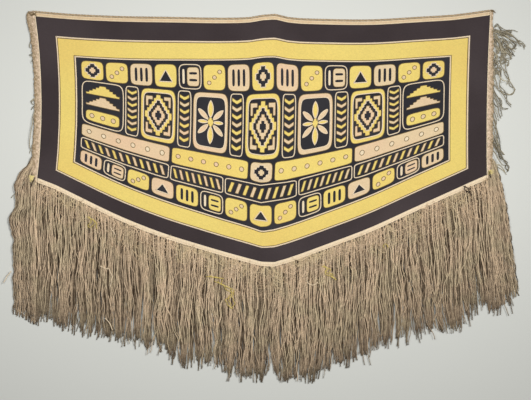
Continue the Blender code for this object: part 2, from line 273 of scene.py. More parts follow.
def solidOutline():
    # the places of the underside's rim, in order
    shape = bmesh.new()
    shape.from_mesh(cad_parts["twined_cloth"].data)
    bmesh.ops.remove_doubles(shape, verts=shape.verts, dist=1e-5)
    under = {face for face in shape.faces if face.normal.z < -0.9}
    rim = {edge for edge in shape.edges if sum(face in under for face in edge.link_faces) == 1}
    edge = next(iter(rim))
    vert = edge.verts[0]
    places = []
    while edge:
        rim.remove(edge)
        vert = edge.other_vert(vert)
        places.append(vert.co.xy.to_tuple())
        edge = next((other for other in vert.link_edges if other in rim), None)
    shape.free()
    return np.array(places)


def outlineEdges():
    # the heading and the hem from left to right, and the sides from the foot up
    rim = solidOutline()
    x, y = rim[:, 0], rim[:, 1]
    if np.sum(x * np.roll(y, -1) - y * np.roll(x, -1)) > 0:
        rim = rim[::-1]
    start = np.argmax(rim[:, 1] - rim[:, 0])
    rim = np.roll(rim, -start, 0)
    x, y = rim[:, 0], rim[:, 1]
    topRight, footRight = np.argmax(y + x), np.argmax(x - y / 2)
    footLeft = np.argmax(-x - y / 2)
    heading = rim[: topRight + 1]
    right = rim[topRight : footRight + 1][::-1]
    hem = rim[footRight : footLeft + 1][::-1]
    left = np.concatenate([rim[footLeft:], rim[:1]])
    return heading, hem, left, right


headingEdge, hemEdge, leftEdge, rightEdge = outlineEdges()


def headingY(x):
    return np.interp(x, headingEdge[:, 0], headingEdge[:, 1])


def hemY(x):
    return np.interp(x, hemEdge[:, 0], hemEdge[:, 1])


def leftX(y):
    return np.interp(y, leftEdge[:, 1], leftEdge[:, 0])


def rightX(y):
    return np.interp(y, rightEdge[:, 1], rightEdge[:, 0])


# The loom's own places: across from the middle, and down from the heading

loom = {
    "half": 0.818,  # half the cloth's width
    "sideDepth": 0.605,
    "slope": 0.365,  # of the hem towards its point
    "reach": 0.845,
    "pointRound": 0.030,
}
# The heading's middle, from the cloth's left end and its highest corner
layout = {"left": 0.824, "down": 0.029}


def hemDepth(across):
    return loom["sideDepth"] + loom["slope"] * (loom["reach"] - np.sqrt(across**2 + loom["pointRound"] ** 2))


def upFromHem(across, distance):
    # the depth of a place that lies square to the hem's slope at this distance
    lean = loom["slope"] * across / np.sqrt(across**2 + loom["pointRound"] ** 2)
    return hemDepth(across) - distance * np.sqrt(1 + lean**2)


def place(across, down):
    # the place on the laid cloth of a place on the loom
    across, down = np.asarray(across, float), np.asarray(down, float)
    share = (across / loom["half"] + 1) / 2
    x = across + (headingEdge[0, 0] + headingEdge[-1, 0]) / 2
    for turn in range(5):
        top = headingY(x)
        y = top - down * (top - hemY(x)) / hemDepth(across)
        x = leftX(y) + share * (rightX(y) - leftX(y))
    return np.stack([x, y], -1)


lie = {
    "top": 0.0041,  # the face above the surface
    "swell": 0.00042,
    "waves": ((5.1, 1.3, 0.6), (-1.9, 6.3, 0.0), (11.0, -7.0, 0.0)),  # across, up and the phase
    "thirdWave": 0.6,
    "crease": 0.0016,
    "creaseRight": 0.004,  # from the heading's middle
    "creaseWide": 0.007,
    "creaseLong": 0.075,
}


def clothHeight(x, y):
    # long shallow swells, and the small crease at the middle of the heading
    first, second, third = (np.sin(across * x + up * y + phase) for across, up, phase in lie["waves"])
    swell = first * second + lie["thirdWave"] * third
    down = (headingY(x) - y) / lie["creaseLong"]
    beside = (x - headingEdge[:, 0].mean() - lie["creaseRight"]) / lie["creaseWide"]
    crease = np.exp(-beside**2) * np.exp(-down**2)
    return lie["top"] + lie["swell"] * swell + lie["crease"] * crease


def inside(points, loop):
    # which points lie in the closed loop
    found = np.zeros(len(points), bool)
    near = np.all((points >= loop.min(0)) & (points <= loop.max(0)), axis=1)
    x, y = points[near, 0], points[near, 1]
    hit = np.zeros(len(x), bool)
    for (x0, y0), (x1, y1) in zip(loop, np.roll(loop, -1, 0)):
        if y0 != y1:
            crosses = ((y0 > y) != (y1 > y)) & (x < (x1 - x0) * (y - y0) / (y1 - y0) + x0)
            hit ^= crosses
    found[near] = hit
    return found


# The border bands, from the edge inwards: distances from the heading, the left, the right and the hem

bands = (
    ("headingWool", (0.0, 0.0, 0.0, 0.0)),
    ("blackBorder", (0.013, 0.0, 0.0, 0.0160)),
    ("cream", (0.0778, 0.0634, 0.0673, 0.0660)),
    # the narrow dark bands at both edges of the yellow band are painted shade along the braids that lie on
    # them
    ("braidShadeLine", (0.0830, 0.0680, 0.0730, 0.0707)),
    ("yellow", (0.0855, 0.0702, 0.0753, 0.0730)),
    ("braidShadeLine", (0.1420, 0.1235, 0.1322, 0.1215)),
    ("cream", (0.1440, 0.1257, 0.1346, 0.1235)),
    ("fieldBlack", (0.1485, 0.1310, 0.1386, 0.1280)),
)
bandStep = 0.014


def bandLoop(fromHeading, fromLeft, fromRight, fromHem):
    # corner to corner round the band's outer edge, in loom places
    low, high = fromLeft - loom["half"], loom["half"] - fromRight
    across = np.linspace(low, high, int((high - low) / bandStep))
    stations = int(loom["sideDepth"] / bandStep)
    rightDown = np.linspace(fromHeading, float(upFromHem(high, fromHem)), stations)[1:-1]
    leftDown = np.linspace(float(upFromHem(low, fromHem)), fromHeading, stations)[1:-1]
    heading = np.full(len(across), fromHeading)
    hem = upFromHem(across[::-1], fromHem)
    u = np.concatenate([across, np.full(stations - 2, high), across[::-1], np.full(stations - 2, low)])
    v = np.concatenate([heading, rightDown, hem, leftDown])
    return place(u, v)


shapes = []


def draw(loop, colour, edge=None):
    shapes.append({"loop": loop, "colour": colour, "edge": edge})


for colour, distances in bands:
    draw(bandLoop(*distances), colour)


# The field: a plain geometric design of panels, stepped lozenges, chevrons, leaves and waves

field = {
    "top": 0.1485,
    "half": 0.6832,
    "middle": -0.0038,
    "aboveHem": 0.128,
    "margin": 0.014,
    "rows": ((0.026, 0.190), (0.208, 0.590), (0.608, 0.722), (0.738, 0.838), (0.856, 0.978)),
    "gap": 0.009,
    "smallCells": 7.5,  # how many fit from the middle to one side
    "wideCells": 2.5,
    "narrow": 0.056,
    "wing": 0.104,  # how much wider than a narrow cell the outermost one of the tall row is
}


def fieldDepth(across):
    return upFromHem(across, field["aboveHem"]) - field["top"]


class Cell:
    # one compartment of the field, between two places across and two shares of the depth
    def __init__(self, start, end, row):
        self.middle = (start + end) / 2
        self.wide = abs(end - start) - field["gap"]
        self.centre = (row[0] + row[1]) / 2
        self.high = (row[1] - row[0]) * float(fieldDepth(self.middle))

    def draw(self, points, colour, edge=None, shift=(0, 0)):
        # points in metres from the cell's middle, y down
        points = np.asarray(points, float) + shift
        across = field["middle"] + self.middle + points[:, 0]
        share = self.centre + points[:, 1] / float(fieldDepth(self.middle))
        draw(place(across, field["top"] + share * fieldDepth(across)), colour, edge)


def softBox(wide, high, square=5.0, count=36):
    # a box with its corners rounded
    turn = np.linspace(0, math.tau, count, endpoint=False)
    side, end = np.cos(turn), np.sin(turn)
    x = np.sign(side) * np.abs(side) ** (2 / square) * wide / 2
    y = np.sign(end) * np.abs(end) ** (2 / square) * high / 2
    return np.stack([x, y], 1)


def ringOf(radius, count=14):
    return softBox(2 * radius, 2 * radius, 2.0, count)


def steppedLozenge(wide, high, count):
    # a lozenge whose sides go in stairs
    x = np.linspace(0, wide / 2, count + 1)
    y = np.linspace(high / 2, 0, count + 1)
    quarter = []
    for k in range(count):
        quarter += [(x[k + 1], y[k]), (x[k + 1], y[k + 1])]
    quarter = np.array([(0, y[0])] + quarter[:-1])[1:]
    right = np.concatenate([quarter, quarter[::-1] * (1, -1)])
    return np.concatenate([right, right[::-1] * (-1, 1)])


def chevronOf(wide, dip, thick):
    return np.array([
        (-wide / 2, 0), (0, dip), (wide / 2, 0), (wide / 2, thick), (0, dip + thick), (-wide / 2, thick),
    ])


def leafOf(length, wide, angle):
    # a leaf from the middle outwards
    t = np.linspace(0, 1, 9)
    belly = np.sin(math.pi * t) ** 0.8 * wide / 2
    rim = np.concatenate([np.stack([t * length, belly], 1), np.stack([t * length, -belly], 1)[-2:0:-1]])
    turned = np.array([(math.cos(angle), math.sin(angle)), (-math.sin(angle), math.cos(angle))])
    return rim @ turned


def dot(cell, x, y, colour, radius=0.0085):
    # a dot that shows on a ground of this colour
    cell.draw(ringOf(radius), "tan" if colour == "yellow" else "cream", "thinDark", (x, y))


def dottedPanel(cell, colour="yellow"):
    # three dots in a slanting row
    cell.draw(softBox(cell.wide, cell.high), colour, "thinDark")
    for share in (-1, 0, 1):
        dot(cell, share * cell.wide * 0.24, -share * cell.high * 0.22, colour, 0.0075)


def barredPanel(cell, colour="tan"):
    # an upright bar beside a panel that two level bars cross
    cell.draw(softBox(cell.wide, cell.high), "fieldBlack", "thinCream")
    cell.draw(softBox(cell.wide * 0.56, cell.high * 0.78), colour, "thinDark", (cell.wide * 0.14, 0))
    cell.draw(softBox(cell.wide * 0.10, cell.high * 0.62, 4.0, 20), "cream", None, (-cell.wide * 0.30, 0))
    for share in (-0.14, 0.14):
        bar = softBox(cell.wide * 0.36, cell.high * 0.10, 4.0, 20)
        cell.draw(bar, "fieldBlack", None, (cell.wide * 0.14, cell.high * share))


def stripedPanel(cell, colour="tan"):
    cell.draw(softBox(cell.wide, cell.high), colour, "thinDark")
    for shift in (-0.24, 0, 0.24):
        bar = softBox(cell.wide * 0.12, cell.high * 0.64, 4.0, 20)
        cell.draw(bar, "fieldBlack", None, (cell.wide * shift, 0))


def trianglePanel(cell, colour="yellow"):
    cell.draw(softBox(cell.wide, cell.high), colour, "thinDark")
    wide, high = cell.wide * 0.62, cell.high * 0.52
    cell.draw([(-wide / 2, high / 2), (0, -high / 2), (wide / 2, high / 2)], "fieldBlack", "thinCream")


def lozengePanel(cell, colour="yellow"):
    cell.draw(softBox(cell.wide, cell.high), colour, "thinDark")
    cell.draw(steppedLozenge(cell.wide * 0.68, cell.high * 0.76, 3), "fieldBlack", "thinCream")
    cell.draw(steppedLozenge(cell.wide * 0.26, cell.high * 0.30, 2), "tan")


def lozengeMedallion(cell):
    # stepped lozenges one in another, in a soft box
    wide, high = cell.wide, cell.high
    cell.draw(softBox(wide, high, 7.0, 60), "yellow", "thinDark")
    cell.draw(softBox(wide * 0.86, high * 0.86, 7.0, 60), "fieldBlack", "thinCream")
    for x in (-1, 1):
        for y in (-1, 1):
            corner = [(0, 0), (wide * 0.20, 0), (wide * 0.20, high * 0.07), (wide * 0.07, high * 0.07),
                      (wide * 0.07, high * 0.20), (0, high * 0.20)]
            cell.draw(np.array(corner) * (-x, -y), "tan", "thinDark", (x * wide * 0.36, y * high * 0.36))
    for size, count, colour, edge in (
        (0.78, 6, "yellow", "thinDark"), (0.58, 5, "fieldBlack", "thinCream"), (0.38, 4, "tan", "thinDark"),
        (0.18, 2, "fieldBlack", None),
    ):
        cell.draw(steppedLozenge(wide * size, high * size, count), colour, edge)


def leafMedallion(cell):
    # eight leaves round a small lozenge
    wide, high = cell.wide, cell.high
    cell.draw(softBox(wide, high, 7.0, 60), "tan", "thinDark")
    cell.draw(softBox(wide * 0.86, high * 0.86, 7.0, 60), "fieldBlack", "thinCream")
    for k in range(8):
        angle = math.tau * k / 8
        reach = 0.37 * math.hypot(wide * math.cos(angle), high * math.sin(angle))
        start = (0.20 * reach * math.cos(angle), 0.20 * reach * math.sin(angle))
        leaf = leafOf(reach * 0.80, 0.24 * reach, angle)
        cell.draw(leaf, ("yellow", "tan")[k % 2], "thinCream", start)
    cell.draw(steppedLozenge(wide * 0.16, high * 0.16, 2), "yellow", "thinDark")


def chevronStack(cell, count=7):
    cell.draw(softBox(cell.wide, cell.high, 8.0, 44), "fieldBlack", "thinCream")
    step = cell.high * 0.88 / count
    for k in range(count):
        colour = ("yellow", "tan")[k % 2]
        y = -cell.high * 0.44 + k * step
        cell.draw(chevronOf(cell.wide * 0.74, step * 0.40, step * 0.46), colour, "thinDark", (0, y))


def steppedWings(cell):
    # stairs that climb to the middle, over a dotted panel
    wide, high = cell.wide, cell.high
    cell.draw(softBox(wide, high, 7.0, 60), "fieldBlack", "thinCream")
    for y, colour in ((-0.20, "yellow"), (0.06, "tan")):
        stairs = steppedLozenge(wide * 0.82, high * 0.44, 5)
        stairs[:, 1] = np.minimum(stairs[:, 1], 0)
        cell.draw(stairs, colour, "thinDark", (0, high * y))
    cell.draw(softBox(wide * 0.82, high * 0.26), "yellow", "thinDark", (0, high * 0.30))
    for x in (-0.26, 0, 0.26):
        dot(cell, wide * x, high * 0.30, "yellow")


def dottedBand(cell, count, colour="yellow"):
    cell.draw(softBox(cell.wide, cell.high, 12.0, 64), colour, "thinDark")
    for k in range(count):
        dot(cell, cell.wide * ((k + 0.5) / count - 0.5), 0, colour)


def slantBand(cell, count):
    # slanting bars, yellow and tan in turn
    cell.draw(softBox(cell.wide, cell.high, 14.0, 64), "fieldBlack", "thinCream")
    step = cell.wide * 0.94 / count
    lean = math.copysign(step * 0.5, cell.middle)
    for k in range(count):
        x = -cell.wide * 0.47 + (k + 0.5) * step
        bar = [(-step * 0.22 - lean * 0.5, cell.high * 0.32), (step * 0.22 - lean * 0.5, cell.high * 0.32),
               (step * 0.22 + lean * 0.5, -cell.high * 0.32), (-step * 0.22 + lean * 0.5, -cell.high * 0.32)]
        cell.draw(bar, ("yellow", "tan")[k % 2], "thinDark", (x, 0))


def placeRow(row, widths, kinds):
    # cells from the middle outwards, the same on both sides; a kind is a maker and what else it takes
    start = widths[0] / 2
    maker, *more = kinds[0]
    maker(Cell(-start, start, row), *more)
    for wide, (maker, *more) in zip(widths[1:], kinds[1:]):
        for side in (1, -1):
            maker(Cell(side * start, side * (start + wide), row), *more)
        start += wide


def layField():
    half = field["half"] - field["margin"]
    small = half / field["smallCells"]
    narrow = field["narrow"]
    wide = (half - 4 * narrow - field["wing"]) / field["wideCells"]
    top, tall, dotted, slanting, foot = field["rows"]
    placeRow(top, [small] * 8, [
        (lozengePanel,), (stripedPanel,), (dottedPanel,), (barredPanel,),
        (trianglePanel,), (stripedPanel,), (dottedPanel,), (lozengePanel,),
    ])
    placeRow(tall, [wide, narrow, wide, narrow, wide, narrow, field["wing"] + narrow], [
        (lozengeMedallion,), (chevronStack,), (leafMedallion,), (chevronStack,),
        (lozengeMedallion,), (chevronStack,), (steppedWings,),
    ])
    placeRow(dotted, [small, half / 2 - small / 2, half / 2], [
        (lozengePanel, "tan"), (dottedBand, 6), (dottedBand, 6, "tan"),
    ])
    placeRow(slanting, [small * 3, half / 2 - small * 1.5, half / 2], [
        (slantBand, 9), (slantBand, 8), (slantBand, 12),
    ])
    placeRow(foot, [small] * 8, [
        (trianglePanel,), (dottedPanel,), (barredPanel, "yellow"), (stripedPanel, "yellow"),
        (trianglePanel, "tan"), (dottedPanel,), (barredPanel, "tan"), (stripedPanel,),
    ])


layField()
print("design laid out:", len(shapes), "shapes")


# The cloth itself: the outlines and a grid, joined into triangles

cloth = {
    "grid": 0.009,
    "thick": 0.0032,
    "hemFrom": 0.2,  # further than this from the heading, the plain outer rows are the hem's
}


def clothMesh():
    outline = shapes[0]["loop"]
    points = []
    edges = []
    for shape in shapes:
        first = len(points)
        count = len(shape["loop"])
        points += shape["loop"].tolist()
        edges += [(first + k, first + (k + 1) % count) for k in range(count)]
    low, high = outline.min(0), outline.max(0)
    x, y = np.meshgrid(np.arange(low[0], high[0], cloth["grid"]), np.arange(low[1], high[1], cloth["grid"]))
    grid = np.stack([x.ravel(), y.ravel()], 1)
    points += grid[inside(grid, outline)].tolist()
    made = delaunay_2d_cdt([Vector(point) for point in points], edges, [], 0, 1e-6)
    places = np.array([tuple(point) for point in made[0]])
    faces = np.array(made[2])
    middles = places[faces].mean(1)
    inCloth = inside(middles, outline)
    faces, middles = faces[inCloth], middles[inCloth]
    colours = np.zeros(len(faces), int)
    names = list(clothMaterials)
    for shape in shapes:
        colours[inside(middles, shape["loop"])] = names.index(shape["colour"])
    down = headingY(middles[:, 0]) - middles[:, 1]
    hemStrip = (down > cloth["hemFrom"]) & (colours == names.index("headingWool"))
    colours[hemStrip] = names.index("hemWool")
    return places, faces, colours


def makeCloth():
    places, faces, colours = clothMesh()
    used, faces = np.unique(faces, return_inverse=True)
    faces = faces.reshape(-1, 3)
    places = places[used]
    heights = clothHeight(places[:, 0], places[:, 1])
    mesh = bpy.data.meshes.new("wovenCloth")
    mesh.from_pydata(np.column_stack([places, heights]).tolist(), [], faces.tolist())
    for material in clothMaterials.values():
        mesh.materials.append(material)
    mesh.polygons.foreach_set("material_index", colours)
    mesh.shade_smooth()
    uv = mesh.uv_layers.new(name="OFBake")
    corners = np.empty(len(mesh.loops), int)
    mesh.loops.foreach_get("vertex_index", corners)
    low, high = places.min(0), places.max(0)
    uv.data.foreach_set("uv", ((places[corners] - low) / (high - low).max() * 0.98 + 0.01).ravel())
    made = bpy.data.objects.new("wovenCloth", mesh)
    bpy.context.scene.collection.objects.link(made)
    thick = made.modifiers.new("thick", "SOLIDIFY")
    thick.thickness = cloth["thick"]
    thick.offset = -1
    return made


wovenCloth = makeCloth()
if wovenCloth.data.polygons[0].normal.z < 0:
    wovenCloth.data.flip_normals()
print("cloth woven:", len(wovenCloth.data.polygons), "faces")


# Yarns: closed tubes along paths, many in one mesh

def lengthsAlong(line):
    return np.concatenate([[0], np.cumsum(np.linalg.norm(np.diff(line, axis=0), axis=1))])


def makeYarns(name, paths, wide, high, sides, material, tones=None):
    # paths are arrays of places, wide and high the half sizes across and up, per path or per place
    verts, uvs, faces, toneRows = [], [], [], []
    first = 0
    turn = np.arange(sides) / sides * math.tau
    corner = np.arange(sides)
    after = (corner + 1) % sides
    quadUvs, capFaces = [], []
    for number, path in enumerate(paths):
        count = len(path)
        ahead = np.gradient(path, axis=0)
        ahead /= np.linalg.norm(ahead, axis=1)[:, None] + 1e-12
        across = np.stack([-ahead[:, 1], ahead[:, 0], np.zeros(count)], 1)
        across /= np.linalg.norm(across, axis=1)[:, None] + 1e-12
        up = np.cross(ahead, across)
        w = np.broadcast_to(wide[number] if isinstance(wide, list) else wide, (count,))
        h = np.broadcast_to(high[number] if isinstance(high, list) else high, (count,))
        rim = (
            path[:, None]
            - across[:, None] * (w[:, None] * np.cos(turn))[:, :, None]
            + up[:, None] * (h[:, None] * np.sin(turn))[:, :, None]
        )
        verts.append(rim.reshape(-1, 3))
        rows = (np.arange(count - 1) * sides)[:, None] + first
        one, other = rows + corner, rows + after
        faces.append(np.stack([one, one + sides, other + sides, other], -1).reshape(-1, 4))
        length = lengthsAlong(path)
        near, far, start, end = (
            np.broadcast_to(values, (count - 1, sides))
            for values in (length[:-1, None], length[1:, None], corner / sides, (corner + 1) / sides)
        )
        quadUvs.append(np.stack([near, start, far, start, far, end, near, end], -1).reshape(-1, 2))
        capFaces.append((first + corner).tolist())
        capFaces.append((first + (count - 1) * sides + corner[::-1]).tolist())
        tone = 0.5 if tones is None else tones[number]
        toneRows.append(np.repeat(np.broadcast_to(tone, count), sides))
        first += count * sides
    mesh = bpy.data.meshes.new(name)
    mesh.from_pydata(np.concatenate(verts).tolist(), [], np.concatenate(faces).tolist() + capFaces)
    mesh.materials.append(material)
    mesh.shade_smooth()
    uv = mesh.uv_layers.new(name="lay")
    capUvs = np.zeros((len(capFaces) * sides, 2))
    uv.data.foreach_set("uv", np.concatenate(quadUvs + [capUvs]).ravel())
    toneLayer = mesh.attributes.new("tone", "FLOAT", "POINT")
    toneLayer.data.foreach_set("value", np.concatenate(toneRows))
    made = bpy.data.objects.new(name, mesh)
    bpy.context.scene.collection.objects.link(made)
    return made


def resample(loop, step):
    # places a step apart round a closed line
    line = np.concatenate([loop, loop[:1]])
    length = lengthsAlong(line)
    count = max(int(round(length[-1] / step)), 4)
    at = np.linspace(0, length[-1], count + 1)
    return np.stack([np.interp(at, length, line[:, k]) for k in range(line.shape[1])], 1)


def onCloth(line):
    return np.column_stack([line, clothHeight(line[:, 0], line[:, 1])])


# The raised braids that part the bands and edge the motifs

braids = {
    # distances from the heading, the left, the right and the hem
    "bandsAt": {
        "Cream": ((0.0804, 0.0657, 0.0701, 0.0684), (0.1462, 0.1283, 0.1366, 0.1257)),
        # the Dark braids are raised braids whose dark wool is painted shade along them
        "Dark": ((0.0843, 0.0691, 0.0742, 0.0719), (0.1430, 0.1246, 0.1334, 0.1225)),
    },
    # width, height and sides
    "band": {"Cream": (0.0046, 0.0018, 8), "Dark": (0.0026, 0.0012, 8)},
    "motif": {"Cream": (0.0040, 0.0013, 6), "Dark": (0.0024, 0.0009, 6)},
    "step": 0.006,
}


def makeBraids():
    made = []
    for kind in ("band", "motif"):
        for tone, (wide, high, sides) in braids[kind].items():
            if kind == "band":
                loops = [bandLoop(*distances) for distances in braids["bandsAt"][tone]]
            else:
                loops = [shape["loop"] for shape in shapes if shape["edge"] == "thin" + tone]
            lines = [onCloth(resample(loop, braids["step"])) for loop in loops]
            # the Dark braids take a dark wool that is painted shade
            wool = yarnMaterials[tone.lower() + "Braid"]
            made.append(makeYarns(kind + "Braid" + tone, lines, wide / 2, high, sides, wool))
    return made


clothBraids = makeBraids()
print("braids laid")


# The rows of twining that show at the heading and the hem

twinedRows = {
    "heading": (0.0022, 0.0064, 0.0106),
    "headingTones": (0.45, 0.15, 0.60),
    "hem": (-0.0020, 0.0022, 0.0063, 0.0104, 0.0142),
    "hemTones": (0.20, 0.70, 0.45, 0.90, 0.65),
    "wide": 0.0022,
    "high": 0.0014,
    "inset": 0.001,
    "stations": 320,
}


def makeTwinedRows():
    reach = loom["half"] - twinedRows["inset"]
    across = np.linspace(-reach, reach, twinedRows["stations"])
    heading = [onCloth(place(across, np.full(len(across), down))) for down in twinedRows["heading"]]
    hem = [onCloth(place(across, upFromHem(across, up))) for up in twinedRows["hem"]]
    headingYarn, hemYarn = yarnMaterials["headingYarn"], yarnMaterials["creamBraid"]
    wide, high = twinedRows["wide"], twinedRows["high"]
    return [
        makeYarns("headingTwining", heading, wide, high, 6, headingYarn, twinedRows["headingTones"]),
        makeYarns("hemTwining", hem, wide, high, 6, hemYarn, twinedRows["hemTones"]),
    ]


twinedRowPieces = makeTwinedRows()


# The cord that the warps hang from: two plies twisted, along the heading

headingCord = {"ply": 0.0021, "twist": 0.011, "stations": 8, "above": 0.0004, "tones": (0.25, 0.55)}


def makeHeadingCord():
    look = headingCord
    low, high = (np.array(corner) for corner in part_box("heading_cord"))
    count = int((high[0] - low[0]) / look["twist"] * look["stations"])
    x = np.linspace(low[0] + look["ply"], high[0] - look["ply"], count)
    rise = (high[2] - low[2]) / 2
    y = headingY(x) + rise + look["above"]
    plies = []
    for phase in (0, math.pi):
        turn = (x - x[0]) / look["twist"] * math.tau / 2 + phase
        radius = rise - look["ply"]
        plies.append(np.column_stack([x, y + radius * np.cos(turn), rise + radius * np.sin(turn)]))
    wool = yarnMaterials["cordWool"]
    return makeYarns("headingCord", plies, look["ply"], look["ply"], 7, wool, look["tones"])


headingCordPiece = makeHeadingCord()
print("heading cord twisted")


# The fringe of the hem

fringe = {
    "seed": 11,
    "sides": 5,
    # painted light: the tone rises from layer to layer, so the lower layers are painted dark as the shade
    # under the upper ones, and the sparse top layers light as painted highlights
    "layers": (  # from the lowest one up
        {"spacing": 0.0044, "stations": 14, "tone": 0.04, "scatter": 0.08, "radius": 0.0029, "lean": 0.001,
         "bend": 0.0002, "jitter": 0.2},
        {"spacing": 0.0044, "stations": 19, "tone": 0.07, "scatter": 0.14, "radius": 0.0022, "lean": 0.006,
         "bend": 0.0014, "jitter": 0.8},
        {"spacing": 0.0060, "stations": 32, "tone": 0.34, "scatter": 0.28, "radius": 0.0018, "lean": 0.011,
         "bend": 0.0028, "jitter": 0.7},
        {"spacing": 0.0074, "stations": 36, "tone": 0.64, "scatter": 0.26, "radius": 0.0018, "lean": 0.013,
         "bend": 0.0034, "jitter": 0.7},
        {"spacing": 0.0110, "stations": 40, "tone": 0.93, "scatter": 0.18, "radius": 0.0017, "lean": 0.018,
         "bend": 0.0042, "jitter": 0.8},
    ),
    "layerRise": 0.0021,
    "lockWide": (0.014, 0.042),  # locks of strands that draw together at their tips
    "lockDraw": 0.80,
    "lockLean": 0.009,
    "edgeAbove": 0.038,  # from the longest tips up to where most strands end
    "lockScatter": 0.030,
    "endScatter": 0.008,
    "longShare": 0.16,  # of the strands, which hang below the others
    "rightLighter": 0.09,  # how much lighter the strands at the right end are than those at the left
    # painted shade: the light strands are painted darker towards this tone at their tips, as the shade
    # there; the dark lower ones are lifted to it
    "tipShadeTone": 0.34,  # that all strands near at their tips
    "splay": 0.16,  # how far the strands right of the middle lean outwards, more towards the end
    "splayFrom": 0.35,
    "crimp": 0.0007,
    "crimpLength": (0.024, 0.042),
    "crimpRise": 0.0005,
    "bendLength": (0.09, 0.22),
    "sway": 0.006,
    "swayLength": 0.34,
    "thick": (0.85, 1.15),  # of the layer's radius
    "taper": 0.35,  # the share of its radius that a strand loses by its tip
    "sink": 0.7,  # and the share of its rise
}


def fringeFloor():
    # how far down the solid fringe reaches, from left to right
    places = []
    for part in range(1, 5):
        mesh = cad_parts["hem_fringe_%d" % part].data
        flat = np.empty(len(mesh.vertices) * 3)
        mesh.vertices.foreach_get("co", flat)
        places.append(flat.reshape(-1, 3)[:, :2])
    places = np.concatenate(places)
    at = np.arange(places[:, 0].min(), places[:, 0].max(), 0.03)
    ends = [places[np.abs(places[:, 0] - x) < 0.022, 1].min() for x in at]
    return at, np.array(ends)


floorAt, floorEnds = fringeFloor()


def lockCentres(rng, low, high):
    edges = [low]
    while edges[-1] < high:
        edges.append(edges[-1] + rng.uniform(*fringe["lockWide"]))
    edges = np.array(edges)
    centres = (edges[:-1] + edges[1:]) / 2
    return edges, centres + rng.normal(0, fringe["lockLean"], len(centres)), rng.random(len(centres))


def toneNear(rng, middle, scatter):
    return float(np.clip(rng.normal(middle, scatter), 0, 1))


def tapered(radius, t):
    return radius * (1 - fringe["taper"] * t**3)


def sunk(rise, t):
    return rise * (1 - fringe["sink"] * t**4)


def strandLine(rng, x0, end, level, layer, draw):
    look = fringe
    start = float(hemY(x0)) + 0.001
    length = start - end
    t = np.linspace(0, 1, layer["stations"])
    sway = look["sway"] * np.sin(math.pi * t) * np.sin(math.tau * (t + x0 / look["swayLength"]))
    crimp = np.sin(math.tau * (t * length / rng.uniform(*look["crimpLength"]) + rng.random()))
    bend = np.sin(math.tau * (t * length / rng.uniform(*look["bendLength"]) + rng.random()))
    loose = np.minimum(t * 6, 1)
    lean = rng.normal(0, layer["lean"])
    splay = look["splay"] * max(x0 / loom["half"] - look["splayFrom"], 0) * length
    x = x0 + sway + (lean + splay) * t + draw * t**5
    x += loose * (look["crimp"] * crimp + layer["bend"] * bend * t**0.5)
    y = start - length * t
    radius = layer["radius"] * rng.uniform(*look["thick"])
    rise = sunk(level * look["layerRise"], t)
    z = radius + rise * np.minimum(1, 0.4 + t * 7) + look["crimpRise"] * (1 + crimp)
    return np.column_stack([x, y, z]), tapered(radius, t)


def fringeStrands(rng, low, high):
    # the strands whose roots lie between low and high
    look = fringe
    edges, centres, lengths = lockCentres(rng, low - 0.02, high + 0.04)
    paths, radii, tones = [], [], []
    for level, layer in enumerate(look["layers"]):
        for root in np.arange(low, high, layer["spacing"]):
            x0 = float(np.clip(root + rng.uniform(-1, 1) * layer["jitter"] * layer["spacing"], low, high))
            lock = int(np.clip(np.searchsorted(edges, x0) - 1, 0, len(centres) - 1))
            end = np.interp(x0, floorAt, floorEnds) + 0.003
            if rng.random() < look["longShare"]:
                end += look["edgeAbove"] * rng.random() ** 1.3
            else:
                end += look["edgeAbove"] + look["lockScatter"] * (lengths[lock] - 0.5)
                end += rng.normal(0, look["endScatter"])
            draw = look["lockDraw"] * (centres[lock] - x0) + rng.normal(0, 0.003)
            path, radius = strandLine(rng, x0, end, level, layer, draw)
            paths.append(path)
            radii.append(radius)
            lighter = look["rightLighter"] * (x0 / loom["half"] + 1) / 2
            # painted light and shade: the layer's tone, and near the tips a blend to the tip tone
            tone = toneNear(rng, layer["tone"] + lighter, layer["scatter"])
            tones.append(tone + (look["tipShadeTone"] - tone) * np.linspace(0, 1, layer["stations"]) ** 8)
    return paths, radii, tones


fluff = {
    "seed": 23,
    "count": 1500,
    "radius": (0.0007, 0.0013),
    "length": (0.014, 0.050),
    "reach": 0.110,  # how far below the hem they start, fewer further down
    "above": 0.005,
    "paleReach": 0.012,  # the ones that start this near the hem are paler
    "crowding": 2.4,
    "stations": 8,
    "lean": 0.40,
    "turn": 1.1,
    "height": 0.0102,
    "arch": 0.0010,
    "lower": 0.0030,  # the start of the pale ones under the others
    "tones": (0.50, 0.35, 0.25),  # the usual one, what the pale ones have more, and the scatter
}


def makeFluff():
    # weft ends and broken strands that curl out under the hem and lie on the fringe
    rng = np.random.default_rng(fluff["seed"])
    low, high = leftEdge[0, 0] - 0.012, rightEdge[0, 0] + 0.008
    usual, paler, scatter = fluff["tones"]
    paths, radii, tones = [], [], []
    for number in range(fluff["count"]):
        x0 = rng.uniform(low, high)
        drop = fluff["reach"] * rng.random() ** fluff["crowding"] - fluff["above"]
        length = rng.uniform(*fluff["length"])
        t = np.linspace(0, 1, fluff["stations"])
        angle = rng.normal(0, fluff["lean"]) + rng.normal(0, fluff["turn"]) * t
        step = length / (fluff["stations"] - 1)
        x = x0 + np.cumsum(np.sin(angle)) * step
        y = float(hemY(x0)) - drop - np.cumsum(np.cos(angle)) * step
        near = drop < fluff["paleReach"]
        z = fluff["height"] + fluff["arch"] * np.sin(math.pi * t) - fluff["lower"] * near * (1 - t)
        paths.append(np.column_stack([x, y, z]))
        radii.append(rng.uniform(*fluff["radius"]) * (1 - 0.3 * t))
        tones.append(toneNear(rng, usual + paler * near, scatter))
    return makeYarns("hemFluff", paths, radii, radii, 4, yarnMaterials["fluffWool"], tones)


